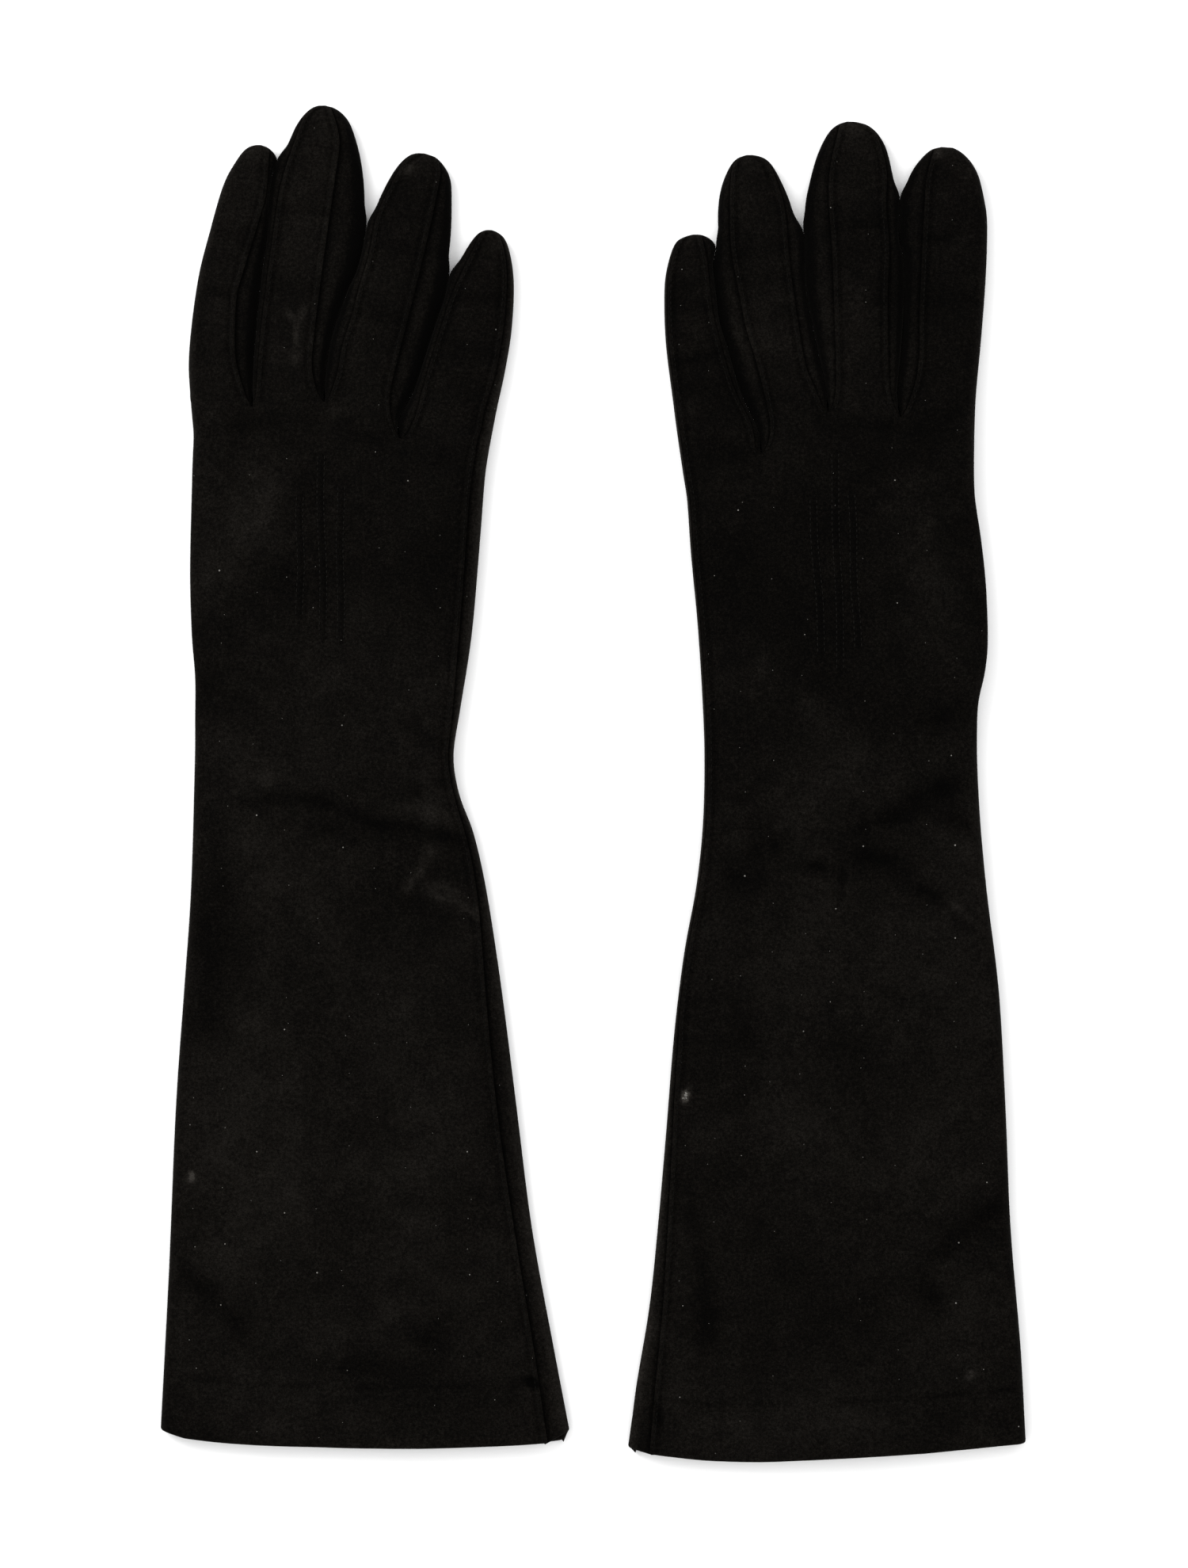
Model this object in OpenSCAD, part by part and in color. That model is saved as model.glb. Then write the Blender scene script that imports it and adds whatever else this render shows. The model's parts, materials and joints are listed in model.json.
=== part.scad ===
// A pair of elbow-length suede gloves, lying flat side by side with the palms down.
// Fingers point along +Y and the sleeve mouths along -Y. The right glove is on the -X side.
// Each glove is cut and sewn from flat leather: a back and a palm panel, strips along the sides
// of the fingers, a thumb tucked under the palm and a turned-in hem.

/* [Leather] */
// Thickness of the suede
leather = 0.8; // [0.5:0.1:1]
// Height of a glove as it lies, from the palm side to the back
lay_height = 9; // [8.5:0.1:11]
// Thickness of the leather turned in at the hem
hem_leather = 0.5; // [0.4:0.1:0.8]
// Depth of the turned-in hem
hem_depth = 17; // [12:1:22]

/* [Folds] */
// Gap between two bodies where the leather bends
fold_gap = 1; // [0.8:0.1:1.6]
// Gap between one finger and the next
cleft_gap = 1.6; // [1.2:0.1:1.8]
// Where the wrist bends
wrist_y = -6; // [-12:1:0]
// Where the cuff turns back
cuff_y = -108; // [-112:1:-106]
// Slope of the cut under the knuckles, in degrees, so that a lifted finger clears its neighbour
knuckle_slope = 35; // [30:1:40]

/* [Thumb] */
// Length of the thumb from its root to its tip
thumb_length = 62; // [56:1:64]
// Width of the thumb across its root
thumb_width = 17; // [14:1:18]
// Height of the thumb, pressed flat under the palm
thumb_height = 3.3; // [2.6:0.1:3.3]
// Free space around the thumb
thumb_clear = 1.2; // [0.8:0.1:1.5]
// Lean of the thumb towards the middle of the palm, in degrees
thumb_lean = 11; // [8:1:14]

/* [Stitching] */
// Width of each raised row of stitches on the back of the hand
point_width = 1.6; // [1:0.1:2]
// Height of each raised row
point_height = 0.5; // [0.3:0.1:0.8]

/* [Hidden] */
RIGHT = 0;
LEFT = 1;
GLOVES = ["right", "left"];
FINGERS = [["index", "middle", "ring", "little"], ["little", "ring", "middle", "index"]];
NODES = [
    "right_cuff_back", "right_cuff_palm", "right_cuff_fold", "right_cuff_seam", "right_cuff_hem",
    "right_sleeve_back", "right_sleeve_palm", "right_sleeve_fold", "right_sleeve_seam",
    "right_hand_back", "right_hand_palm", "right_hand_fold", "right_hand_seam",
    "right_hand_forks", "right_hand_points",
    "right_index_back", "right_index_palm", "right_index_fourchette",
    "right_middle_back", "right_middle_palm",
    "right_middle_fourchette_index", "right_middle_fourchette_ring",
    "right_ring_back", "right_ring_palm",
    "right_ring_fourchette_middle", "right_ring_fourchette_little",
    "right_little_back", "right_little_palm", "right_little_fourchette",
    "right_thumb",
    "left_cuff_back", "left_cuff_palm", "left_cuff_fold", "left_cuff_seam", "left_cuff_hem",
    "left_sleeve_back", "left_sleeve_palm", "left_sleeve_fold", "left_sleeve_seam",
    "left_hand_back", "left_hand_palm", "left_hand_fold", "left_hand_seam",
    "left_hand_forks", "left_hand_points",
    "left_index_back", "left_index_palm", "left_index_fourchette",
    "left_middle_back", "left_middle_palm",
    "left_middle_fourchette_index", "left_middle_fourchette_ring",
    "left_ring_back", "left_ring_palm",
    "left_ring_fourchette_middle", "left_ring_fourchette_little",
    "left_little_back", "left_little_palm", "left_little_fourchette",
    "left_thumb"
];

under_back = lay_height - leather;  // underside of the back panel
bay_floor = thumb_height + 0.3;     // underside of the palm where it rises over the thumb
hinge_z = lay_height + 0.3;         // height of the line that the fingers lift around
overlap = 8;                        // how far a finger's outline runs down into the hand's
far = 400;                          // reach of the blocks that cut a glove into bodies
smooth = 4;                         // steps of each curve between two of its points

// Each side of a glove from the hem up (left side) or down to the hem (right side).
left_edge = [
    [[-129.5, -193], [-127, -145], [-125, -97.5], [-122.5, -62], [-120.5, -33.5], [-119.5, -3],
     [-119, 21], [-119, 32.5], [-120, 44.5], [-120.5, 63.5], [-120, 87], [-119.5, 106]],
    [[10.5, -198], [12.5, -180.5], [16.5, -156.5], [19, -133], [21.5, -104.5], [24, -74],
     [27, -50], [30.5, -31], [32.5, -12.5], [33, 6.5], [32.5, 23], [31, 47], [29, 68],
     [28, 82.5], [27, 93]]
];
right_edge = [
    [[-31, 101.5], [-32.5, 92], [-34, 73], [-36.5, 44.5], [-40, 22], [-42, 8], [-40, -4],
     [-36, -14.5], [-32, -32.5], [-27.5, -62], [-23, -97.5], [-18.5, -133], [-12, -168.5],
     [-7.5, -192]],
    [[113.5, 101], [113.5, 87], [115.5, 73], [117, 58.5], [117.5, 42], [116.5, 32.5],
     [114.5, 23], [114.5, 6.5], [115.5, -12.5], [117.5, -33.5], [121, -62], [123, -97.5],
     [124.5, -133], [127.5, -168.5], [129, -197]]
];
// The hem, from the right side to the left.
hem_edge = [
    [[-9, -195], [-15, -197], [-52, -198.5], [-87, -198], [-108.5, -197], [-122, -195.5]],
    [[98.5, -200], [72.5, -201.5], [50.5, -202.5], [33, -202], [15.5, -200]]
];
// The clefts between the fingers, from the crotch up, from left to right.
clefts = [
    [[[-102, 112.5], [-102, 120.5], [-101.5, 128.5], [-100.5, 140.5], [-99, 154.5],
      [-97.5, 164.5], [-97, 173.5], [-96, 182], [-94.5, 187]],
     [[-80.5, 114], [-80.5, 120], [-78.5, 133], [-74, 146.5], [-71, 153], [-69, 160.5]],
     [[-58, 103], [-58.5, 108.5], [-54, 117], [-51, 126], [-47, 138.5], [-44.5, 146]]],
    [[[50, 98.5], [49, 106], [44, 116.5], [40, 130], [37.5, 138], [36.5, 146], [35.5, 155],
      [36.5, 160]],
     [[70, 111], [69, 119], [67, 128.5], [65, 138], [63, 150.5], [63, 162]],
     [[91.5, 109.5], [90.5, 116.5], [91.5, 127], [92.5, 142.5], [92.5, 156.5], [91, 163]]]
];
// The free part of each finger, from its left side over the tip to its right side.
finger_tops = [
    [[[-119.5, 104], [-120.5, 115], [-121, 128.5], [-118.5, 149.5], [-115, 164], [-111, 178],
      [-107.5, 185], [-103.5, 190], [-98.5, 190.5]],
     [[-91.5, 191], [-89, 196.5], [-86, 200.5], [-82.5, 202.5], [-78, 202], [-74.5, 199.5],
      [-72, 195], [-69.5, 185.5], [-68.5, 173.5]],
     [[-66.5, 168], [-63.5, 176], [-59, 184], [-54.5, 188], [-49.5, 188], [-46, 186],
      [-43, 181], [-42.5, 173.5], [-43, 161]],
     [[-42, 152.5], [-37, 161.5], [-33.5, 165], [-29.5, 165], [-26, 161.5], [-24, 151],
      [-24.5, 136.5], [-26.5, 123.5], [-29, 112], [-31, 101.5]]],
    [[[27, 90], [25, 103.5], [23.5, 115], [21.5, 131], [21, 144], [21.5, 152.5], [24, 161],
      [27.5, 163.5], [31.5, 164], [34.5, 162.5]],
     [[37, 170], [38, 178], [41, 185], [44.5, 187.5], [49, 187.5], [53, 185], [57.5, 176.5],
      [60, 169]],
     [[63, 171.5], [64.5, 180], [67, 188.5], [70.5, 195], [74.5, 197.5], [79, 197.5],
      [83.5, 195.5], [87, 190.5], [89, 183], [90.5, 174]],
     [[92, 169], [92.5, 176], [95, 183], [99.5, 188.5], [103, 190], [107, 190], [111, 187.5],
      [114.5, 182.5], [116.5, 175], [117.5, 167], [117, 150.5], [115.5, 131], [114, 115],
      [113.5, 99.5]]]
];
// Each finger's tip, and its lean from +Y towards +X in degrees.
finger_tips = [
    [[-101, 190, 8], [-80.5, 202, 7], [-52, 188.5, 12], [-31.5, 165, 12]],
    [[29.5, 163.5, -7], [46.5, 188, -9], [77, 197.5, -2], [105, 190.5, 2]]
];
// The seams between each finger's back panel and its side strips, from the crotch up to the tip.
// An empty list means that the leather is folded there, or that the seam runs down the side.
left_seams = [
    [[],
     [[-101, 112], [-99.5, 133], [-97.5, 150], [-95.5, 165], [-93.5, 178], [-90.5, 188],
      [-86, 201]],
     [[-79.5, 113], [-76.5, 122], [-75, 130.5], [-72, 140], [-70, 148], [-67, 158],
      [-65, 168.5], [-61, 177.5], [-52, 195]],
     [[-56.5, 102], [-53, 110], [-51, 118], [-48.7, 126], [-45, 138], [-42.3, 146],
      [-36.5, 158.5], [-31, 170]]],
    [[],
     [[50.9, 98], [52.5, 103.5], [52, 111], [48, 127], [45.5, 135], [43, 147.5], [41, 158.5],
      [40.5, 170], [41, 182.5], [44, 193]],
     [[70.9, 110.5], [72, 116.5], [72, 127], [71, 158.5], [70, 172.5], [70.5, 184.5],
      [75, 203]],
     [[92.4, 109], [96, 120.5], [97, 130], [97, 140.5], [98.5, 172.5], [99.5, 182.5],
      [104, 197]]]
];
right_seams = [
    [[[-102.9, 112], [-106.5, 125], [-107, 133], [-106.5, 145], [-105, 151], [-99, 171],
      [-97.5, 178], [-96.5, 195]],
     [[-81.4, 112], [-84, 123], [-83.5, 133], [-80.5, 157], [-77, 181.5], [-76, 193.5],
      [-81, 208]],
     [[-58.9, 102], [-61, 112.5], [-60, 120.5], [-56, 136.5], [-51, 156.5], [-46.5, 177.5],
      [-46, 184.5], [-49, 194]],
     [[-34.5, 98], [-33, 110], [-29.5, 122], [-27, 136], [-26, 150], [-27, 160], [-31, 170]]],
    [[[48, 98], [47, 107], [42, 117], [38, 130], [35.5, 140], [34.3, 150], [33.5, 157],
      [31, 168]],
     [[69, 110], [65.5, 118.5], [62.5, 127], [58.5, 154], [57, 170], [54.5, 179.5], [49, 193]],
     [[90.4, 109], [88, 119], [87.5, 145.5], [88, 160], [87, 172.5], [87, 185], [81, 203]],
     []]
];
// The long seam on the little-finger side, from the hem up.
outer_seam = [
    [[-12, -210], [-17.5, -171.5], [-22.5, -141], [-28, -104.5], [-31.5, -72], [-34.5, -35.5],
     [-37.5, -18], [-41.5, -4], [-43.5, 8], [-42, 24], [-39, 60.5], [-37, 88], [-34.5, 104]],
    [[16, -210], [18, -182.5], [21, -150], [24, -93], [25, -69.5], [19, -52]]
];
// A point of the knuckle line, and the line's slant in degrees: positive falls towards +X.
knuckles = [[-80.5, 115.8, 9], [70, 112.8, -8]];
// The sides of the hand that belong to the thumb side and to the outer side.
hand_split = [[-110, -48], [42, 105]];
// Root of each thumb.
thumb_root = [[-109.5, 30], [106, 28]];
// Rows of raised stitches on the back of the hand, from the knuckles towards the wrist.
points_rows = [
    [[[-87.5, 87], [-87.5, 48]], [[-81.5, 100], [-80.5, 41]], [[-75.5, 90.5], [-75.5, 40.5]]],
    [[[65, 86.5], [68, 37]], [[71.5, 101], [73.5, 31]], [[76.5, 88], [78.5, 39.5]]]
];

function is_right(g) = g == RIGHT;
// The little finger is the last one on the right glove and the first one on the left.
function finger_at(g, name) = search([name], FINGERS[g])[0];

// One point of a smooth curve through b and c, whose neighbours are a and d.
function between(a, b, c, d, t) =
    0.5 * (2 * b + (c - a) * t + (2 * a - 5 * b + 4 * c - d) * t * t
           + (3 * b - a - 3 * c + d) * t * t * t);

// A smooth open curve through the points.
function curve(p) = [
    for (i = [0:len(p) - 2], k = [0:smooth - 1])
        between(p[max(i - 1, 0)], p[i], p[i + 1], p[min(i + 2, len(p) - 1)], k / smooth),
    p[len(p) - 1]
];

// A curve moved to its right by a distance.
function moved_right(p, distance) = [
    for (i = [0:len(p) - 1])
        let (along = p[min(i + 1, len(p) - 1)] - p[max(i - 1, 0)])
        p[i] + distance * [along[1], -along[0]] / norm(along)
];

function reversed(p) = [for (i = [len(p) - 1:-1:0]) p[i]];
function shifted(p, x, y = 0) = [for (q = p) q + [x, y]];

// A finger's whole outline, from the left side of its root over the tip to the right side.
function finger_curve(g, i) = curve(concat(
    i > 0 ? shifted(clefts[g][i - 1], cleft_gap / 2) : [],
    finger_tops[g][i],
    i < 3 ? shifted(reversed(clefts[g][i]), -cleft_gap / 2) : []));

// The same outline closed, with its root carried down into the hand.
function rooted(p) = concat(
    [p[0] + [1.5, -overlap]], p, [p[len(p) - 1] + [-1.5, -overlap]]);

// The crotches between the fingers, as the flat bottoms of the clefts.
function crotches(g) = [
    for (c = clefts[g], side = [-1, 1]) c[0] + [side * cleft_gap / 2, 0]
];

function body_outline(g) = concat(
    curve(left_edge[g]), crotches(g), curve(right_edge[g]), curve(hem_edge[g]));

// The space inside the sleeve and hand, open at the hem; wall is the thickness of its sides.
function body_inside(g, wall) =
    let (left = moved_right(curve(left_edge[g]), wall),
         right = moved_right(curve(right_edge[g]), wall))
    concat(
        [left[0] + [0, -12]], left, shifted(crotches(g), 0, -wall), right,
        [right[len(right) - 1] + [0, -12]]);

module slab(points, low, high) {
    translate([0, 0, low]) linear_extrude(high - low) polygon(points);
}

// Everything on one side of a seam, out past the edge of the leather.
module beside_seam(seam, side) {
    top = seam[len(seam) - 1];
    outer_x = side < 0 ? min([for (q = seam) q[0]]) - 20 : max([for (q = seam) q[0]]) + 20;
    slab(concat(curve(seam), [[outer_x, top[1]], [outer_x, seam[0][1]]]), -1, far);
}

// The outline of one whole glove.
module outline(g, low, high) {
    slab(body_outline(g), low, high);
    for (i = [0:3]) slab(rooted(finger_curve(g, i)), low, high);
}

// The space inside one whole glove.
module inside(g, low, high) {
    slab(body_inside(g, leather), low, high);
    for (i = [0:3]) slab(rooted(moved_right(finger_curve(g, i), leather)), low, high);
}

// The blocks that cut a glove into the bodies that move.
module above_knuckles(g, gap) {
    translate([knuckles[g][0], knuckles[g][1], hinge_z])
        rotate([knuckle_slope, 0, -knuckles[g][2]])
            translate([-far / 2, gap, -far / 2]) cube([far, far, far]);
}

module across(low_y, high_y) {
    translate([-far / 2, low_y, -far / 2]) cube([far, high_y - low_y, far]);
}

module cuff_zone() { across(-far, cuff_y - fold_gap / 2); }
module sleeve_zone() { across(cuff_y + fold_gap / 2, wrist_y - fold_gap / 2); }
module hand_zone(g) {
    difference() {
        across(wrist_y + fold_gap / 2, far);
        above_knuckles(g, -fold_gap / 2);
    }
}

// The part of space on one side of a finger's middle line.
module finger_half(g, i, side) {
    tip = finger_tips[g][i];
    translate([tip[0], tip[1], -far / 2])
        rotate([0, 0, -tip[2]])
            translate([side < 0 ? -far : 0, -far / 2, 0]) cube([far, far, far]);
}

// The part of space on the left or right of an x.
module beside(x, side) {
    translate([side < 0 ? x - far : x, -far / 2, -far / 2]) cube([far, far, far]);
}

// The side of a glove away from the thumb: +1 on the right glove, -1 on the left.
function outer_side(g) = is_right(g) ? 1 : -1;

module past_outer_seam(g) {
    beside_seam(outer_seam[g], outer_side(g));
}

// The back panel of the sleeve, cut along the outer seam.
module body_back(g) {
    difference() {
        slab(body_outline(g), under_back, lay_height);
        past_outer_seam(g);
    }
}

// One finger's part of the back layer: its back panel, or the strips beside its seams.
module finger_back_layer(g, i) {
    difference() {
        slab(rooted(finger_curve(g, i)), under_back, lay_height);
        if (len(left_seams[g][i]) > 0) beside_seam(left_seams[g][i], -1);
        if (len(right_seams[g][i]) > 0) beside_seam(right_seams[g][i], 1);
    }
}

module finger_lip(g, i, side) {
    seam = side < 0 ? left_seams[g][i] : right_seams[g][i];
    if (len(seam) > 0) {
        intersection() {
            slab(rooted(finger_curve(g, i)), under_back, lay_height);
            beside_seam(seam, side);
        }
    }
}

// The standing side of a finger, from the palm up to the back.
module finger_wall(g, i, side) {
    intersection() {
        difference() {
            slab(rooted(finger_curve(g, i)), leather, under_back);
            slab(rooted(moved_right(finger_curve(g, i), leather)), 0, lay_height);
        }
        finger_half(g, i, side);
    }
}

// The standing sides of the sleeve and hand.
module body_wall(g) {
    difference() {
        outline(g, leather, under_back);
        inside(g, 0, lay_height);
    }
}

// The strip of leather that turns over from the side to the outer seam.
module body_lip(g) {
    intersection() {
        slab(body_outline(g), under_back, lay_height);
        past_outer_seam(g);
    }
}

// The space for the thumb: the quarter that it sweeps as it swings out from under the palm.
module thumb_bay(g, grow, low, high) {
    reach = thumb_width / 2 + thumb_clear + grow;
    translate([thumb_root[g][0], thumb_root[g][1], low])
        mirror([is_right(g) ? 0 : 1, 0, 0])
            intersection() {
                cylinder(r = thumb_length + thumb_clear + grow, h = high - low, $fn = 96);
                rotate([0, 0, -thumb_lean])
                    translate([reach - far, -far / 2, 0]) cube([far, far, high - low]);
                translate([-far / 2, -reach, 0]) cube([far, far, high - low]);
            }
}

// A thumb's half width along its length t, from 0 at the root to 1 at the tip.
function thumb_half(t) =
    thumb_width / 2 * (1 - 0.18 * t) * (t < 0.8 ? 1 : sqrt(max(0, 1 - pow((t - 0.8) / 0.2, 2))));

// A thumb's outline, pointing along +Y. The root is round, or runs straight back to root_y.
function thumb_outline(wall, root_y) =
    let (steps = [0.2, 0.4, 0.6, 0.75, 0.82, 0.88, 0.93, 0.965, 0.99],
         half_root = thumb_width / 2 - wall,
         root = root_y < 0 ? [[half_root, root_y], [-half_root, root_y]]
                           : [for (a = [0:-15:-180]) half_root * [cos(a), sin(a)]])
    concat(
        root,
        [for (t = steps) [wall - thumb_half(t), t * (thumb_length - wall)]],
        [[0, thumb_length - wall]],
        [for (t = reversed(steps)) [thumb_half(t) - wall, t * (thumb_length - wall)]]);

// Modules for the sub-parts. Each takes the glove, and a finger's place from left to right.
module leather_color() { color([0.06, 0.055, 0.05]) children(); }
module strip_color() { color([0.045, 0.04, 0.037]) children(); }
module thread_color() { color([0.1, 0.095, 0.09]) children(); }

module back(g) {
    leather_color() intersection() {
        body_back(g);
        children();
    }
}

module palm(g) {
    leather_color() intersection() {
        slab(body_outline(g), 0, leather);
        children();
    }
}

module fold(g) {
    leather_color() intersection() {
        body_wall(g);
        beside(is_right(g) ? -80 : 70, -outer_side(g));
        children();
    }
}

module seam(g) {
    strip_color() intersection() {
        union() {
            body_wall(g);
            body_lip(g);
        }
        beside(is_right(g) ? -80 : 70, outer_side(g));
        children();
    }
}

// The hem turned in around the mouth of the cuff.
module cuff_hem(g) {
    leather_color() intersection() {
        difference() {
            slab(body_inside(g, leather), leather, under_back);
            slab(body_inside(g, leather + hem_leather), leather + hem_leather,
                 under_back - hem_leather);
        }
        slab(body_outline(g), 0, lay_height);
        difference() {
            cuff_zone();
            slab(shifted(body_outline(g), 0, hem_depth), 0, lay_height);
        }
    }
}

module hand_back(g) {
    leather_color() intersection() {
        union() {
            body_back(g);
            for (i = [0:3]) finger_back_layer(g, i);
        }
        hand_zone(g);
        // the back stays inside the long seam and clear of the forks
        difference() {
            across(-far, far);
            past_outer_seam(g);
            for (i = [0:3], side = [-1, 1]) finger_lip(g, i, side);
        }
    }
}

// The palm, which rises over the thumb.
module hand_palm(g) {
    leather_color() intersection() {
        union() {
            difference() {
                outline(g, 0, leather);
                thumb_bay(g, 0, -1, lay_height);
            }
            intersection() {
                slab(body_inside(g, leather), leather, bay_floor + leather);
                difference() {
                    thumb_bay(g, leather, leather, bay_floor + leather);
                    thumb_bay(g, 0, -1, bay_floor);
                }
            }
        }
        hand_zone(g);
    }
}

module hand_fold(g) {
    leather_color() intersection() {
        difference() {
            body_wall(g);
            thumb_bay(g, leather + 0.2, -1, bay_floor);
        }
        beside(hand_split[g][is_right(g) ? 0 : 1], -outer_side(g));
        hand_zone(g);
    }
}

module hand_seam(g) {
    strip_color() intersection() {
        union() {
            body_wall(g);
            body_lip(g);
            intersection() {
                slab(rooted(finger_curve(g, finger_at(g, "little"))), under_back, lay_height);
                past_outer_seam(g);
            }
        }
        beside(hand_split[g][is_right(g) ? 1 : 0], outer_side(g));
        hand_zone(g);
    }
}

// The forked ends of the side strips, around the crotches between the fingers.
module hand_forks(g) {
    strip_color() intersection() {
        union() {
            body_wall(g);
            for (i = [0:3], side = [-1, 1]) {
                is_outer = side == -1 ? i == 0 : i == 3;
                if (!is_outer) finger_lip(g, i, side);
            }
        }
        beside(hand_split[g][0], 1);
        beside(hand_split[g][1], -1);
        hand_zone(g);
    }
}

// Three raised rows of stitches down the back of the hand.
module hand_points(g) {
    thread_color() for (row = points_rows[g]) {
        along = (row[1] - row[0]) / norm(row[1] - row[0]);
        side = [along[1], -along[0]] * point_width / 2;
        inner = 3 * along;
        slab([row[0], row[0] + inner + side, row[1] - inner + side,
              row[1], row[1] - inner - side, row[0] + inner - side],
             lay_height, lay_height + point_height);
    }
}

module finger_back(g, i) {
    leather_color() intersection() {
        finger_back_layer(g, i);
        above_knuckles(g, fold_gap / 2);
    }
}

// A finger's palm panel. On the outermost fingers its leather turns up the free side.
module finger_palm(g, i) {
    free_side = i == 0 ? -1 : i == 3 ? 1 : 0;
    leather_color() intersection() {
        union() {
            slab(rooted(finger_curve(g, i)), 0, leather);
            if (free_side != 0) {
                finger_wall(g, i, free_side);
                finger_lip(g, i, free_side);
            }
        }
        above_knuckles(g, fold_gap / 2);
    }
}

// The strip along one side of a finger, from the palm up over the edge to the back seam.
module fourchette(g, i, side) {
    strip_color() intersection() {
        union() {
            finger_wall(g, i, side);
            finger_lip(g, i, side);
        }
        above_knuckles(g, fold_gap / 2);
    }
}

// The thumb, a flattened tube open at its root.
module thumb(g) {
    leather_color() translate([thumb_root[g][0], thumb_root[g][1], 0])
        mirror([is_right(g) ? 0 : 1, 0, 0])
            rotate([0, 0, -thumb_lean])
                difference() {
                    slab(thumb_outline(0, 0), 0, thumb_height);
                    slab(thumb_outline(leather, -thumb_width), leather, thumb_height - leather);
                }
}

// Draws the sub-part with one name, if it belongs to this glove.
module piece(g, name) {
    glove = GLOVES[g];
    if (name == str(glove, "_cuff_back")) back(g) cuff_zone();
    if (name == str(glove, "_cuff_palm")) palm(g) cuff_zone();
    if (name == str(glove, "_cuff_fold")) fold(g) cuff_zone();
    if (name == str(glove, "_cuff_seam")) seam(g) cuff_zone();
    if (name == str(glove, "_cuff_hem")) cuff_hem(g);
    if (name == str(glove, "_sleeve_back")) back(g) sleeve_zone();
    if (name == str(glove, "_sleeve_palm")) palm(g) sleeve_zone();
    if (name == str(glove, "_sleeve_fold")) fold(g) sleeve_zone();
    if (name == str(glove, "_sleeve_seam")) seam(g) sleeve_zone();
    if (name == str(glove, "_hand_back")) hand_back(g);
    if (name == str(glove, "_hand_palm")) hand_palm(g);
    if (name == str(glove, "_hand_fold")) hand_fold(g);
    if (name == str(glove, "_hand_seam")) hand_seam(g);
    if (name == str(glove, "_hand_forks")) hand_forks(g);
    if (name == str(glove, "_hand_points")) hand_points(g);
    if (name == str(glove, "_thumb")) thumb(g);
    for (i = [0:3]) {
        finger = str(glove, "_", FINGERS[g][i]);
        if (name == str(finger, "_back")) finger_back(g, i);
        if (name == str(finger, "_palm")) finger_palm(g, i);
        if (name == str(finger, "_fourchette")) fourchette(g, i, i == 0 ? 1 : -1);
        if (name == str(finger, "_fourchette_", FINGERS[g][i - 1])) fourchette(g, i, -1);
        if (name == str(finger, "_fourchette_", FINGERS[g][i + 1])) fourchette(g, i, 1);
    }
}

for (name = NODES) {
    union() {
        for (g = [RIGHT, LEFT]) piece(g, name);
    }
}
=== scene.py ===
"""A pair of black suede elbow gloves, laid flat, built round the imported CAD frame.

Every outline, seam, crotch and fold line is read from the CAD nodes, so the leather lies where the
frame says. Each glove is a set of closed leather skins: one trank for the hand, one for the sleeve,
panels and side strips for each finger, a thumb and a turned-in hem.
"""
import copy
import json
import math

import bpy
import numpy as np
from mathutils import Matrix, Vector


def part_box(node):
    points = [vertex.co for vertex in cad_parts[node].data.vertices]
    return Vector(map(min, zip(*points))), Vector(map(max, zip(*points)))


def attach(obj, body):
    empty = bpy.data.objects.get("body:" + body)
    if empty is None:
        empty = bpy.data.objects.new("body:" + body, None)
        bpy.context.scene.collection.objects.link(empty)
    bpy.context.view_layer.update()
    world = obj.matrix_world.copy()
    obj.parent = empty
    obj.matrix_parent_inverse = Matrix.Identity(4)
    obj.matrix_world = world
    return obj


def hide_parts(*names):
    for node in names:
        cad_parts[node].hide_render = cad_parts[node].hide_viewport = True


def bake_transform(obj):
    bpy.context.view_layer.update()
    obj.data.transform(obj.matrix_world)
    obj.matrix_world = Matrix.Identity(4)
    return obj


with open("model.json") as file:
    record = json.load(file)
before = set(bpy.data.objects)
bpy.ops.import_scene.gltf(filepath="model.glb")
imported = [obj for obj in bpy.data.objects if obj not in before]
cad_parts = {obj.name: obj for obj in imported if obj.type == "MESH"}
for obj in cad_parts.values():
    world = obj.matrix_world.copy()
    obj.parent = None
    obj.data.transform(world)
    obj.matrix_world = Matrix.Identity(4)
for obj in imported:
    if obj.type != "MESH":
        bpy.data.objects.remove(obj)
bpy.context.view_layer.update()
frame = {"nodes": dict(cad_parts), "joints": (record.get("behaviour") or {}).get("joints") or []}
JOINTS = {j["name"]: j for j in frame["joints"]}
MM = 0.001

# Leather and lay, in metres.
SUEDE = 0.8 * MM            # thickness of the leather
THIN_SUEDE = 0.5 * MM       # the same where it is pared, in the hem and the forks
HAND_TOP = 8.3 * MM         # height of the back of the hand
FINGER_TOP = 8.0 * MM       # height of a finger along its middle
SIDE_SHARE = 0.42           # where a side bulges furthest, as a share of the height
FOLD_INSET = 2.6 * MM       # where a folded side starts to turn down
PALM_INSET = 2.2 * MM       # the same on the palm
PANEL_LAP = 0.85 * MM       # how far a side strip starts below the top of the panel that laps it
OUTER_SEAM_INSET = 0.9 * MM     # the least distance from the edge to the outer seam
UNDERSIDE = 0.12 * MM       # how far the palm lies above the surface
THUMB_HALF = 8.3 * MM       # half the width of the thumb at its root
THUMB_ROOM = 3.6 * MM       # how far the palm is raised over the thumb
THUMB_SHOWS = 0.85 * MM     # how far the thumb lifts the back of the hand over it
CROTCH_DIP = 1.6 * MM       # how far the back of the hand sinks at each crotch
TIP_DROP = 0.9 * MM         # how much lower a finger lies at its tip than at its root
FREE_ROOT = -7 * MM         # where the free side of a finger runs into the edge of the hand
ROOT_REACH = 13 * MM        # the length over which a finger's height runs into the hand's
RIB = 0.45 * MM             # height of the rib along a seam
RIB_AT, GROOVE_AT = 0.7 * MM, 2.0 * MM      # where the rib and its groove lie, from the seam
RIB_WIDTH = 0.6 * MM
TUCK = 1.1 * MM             # how far the strip runs on under the panel
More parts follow.
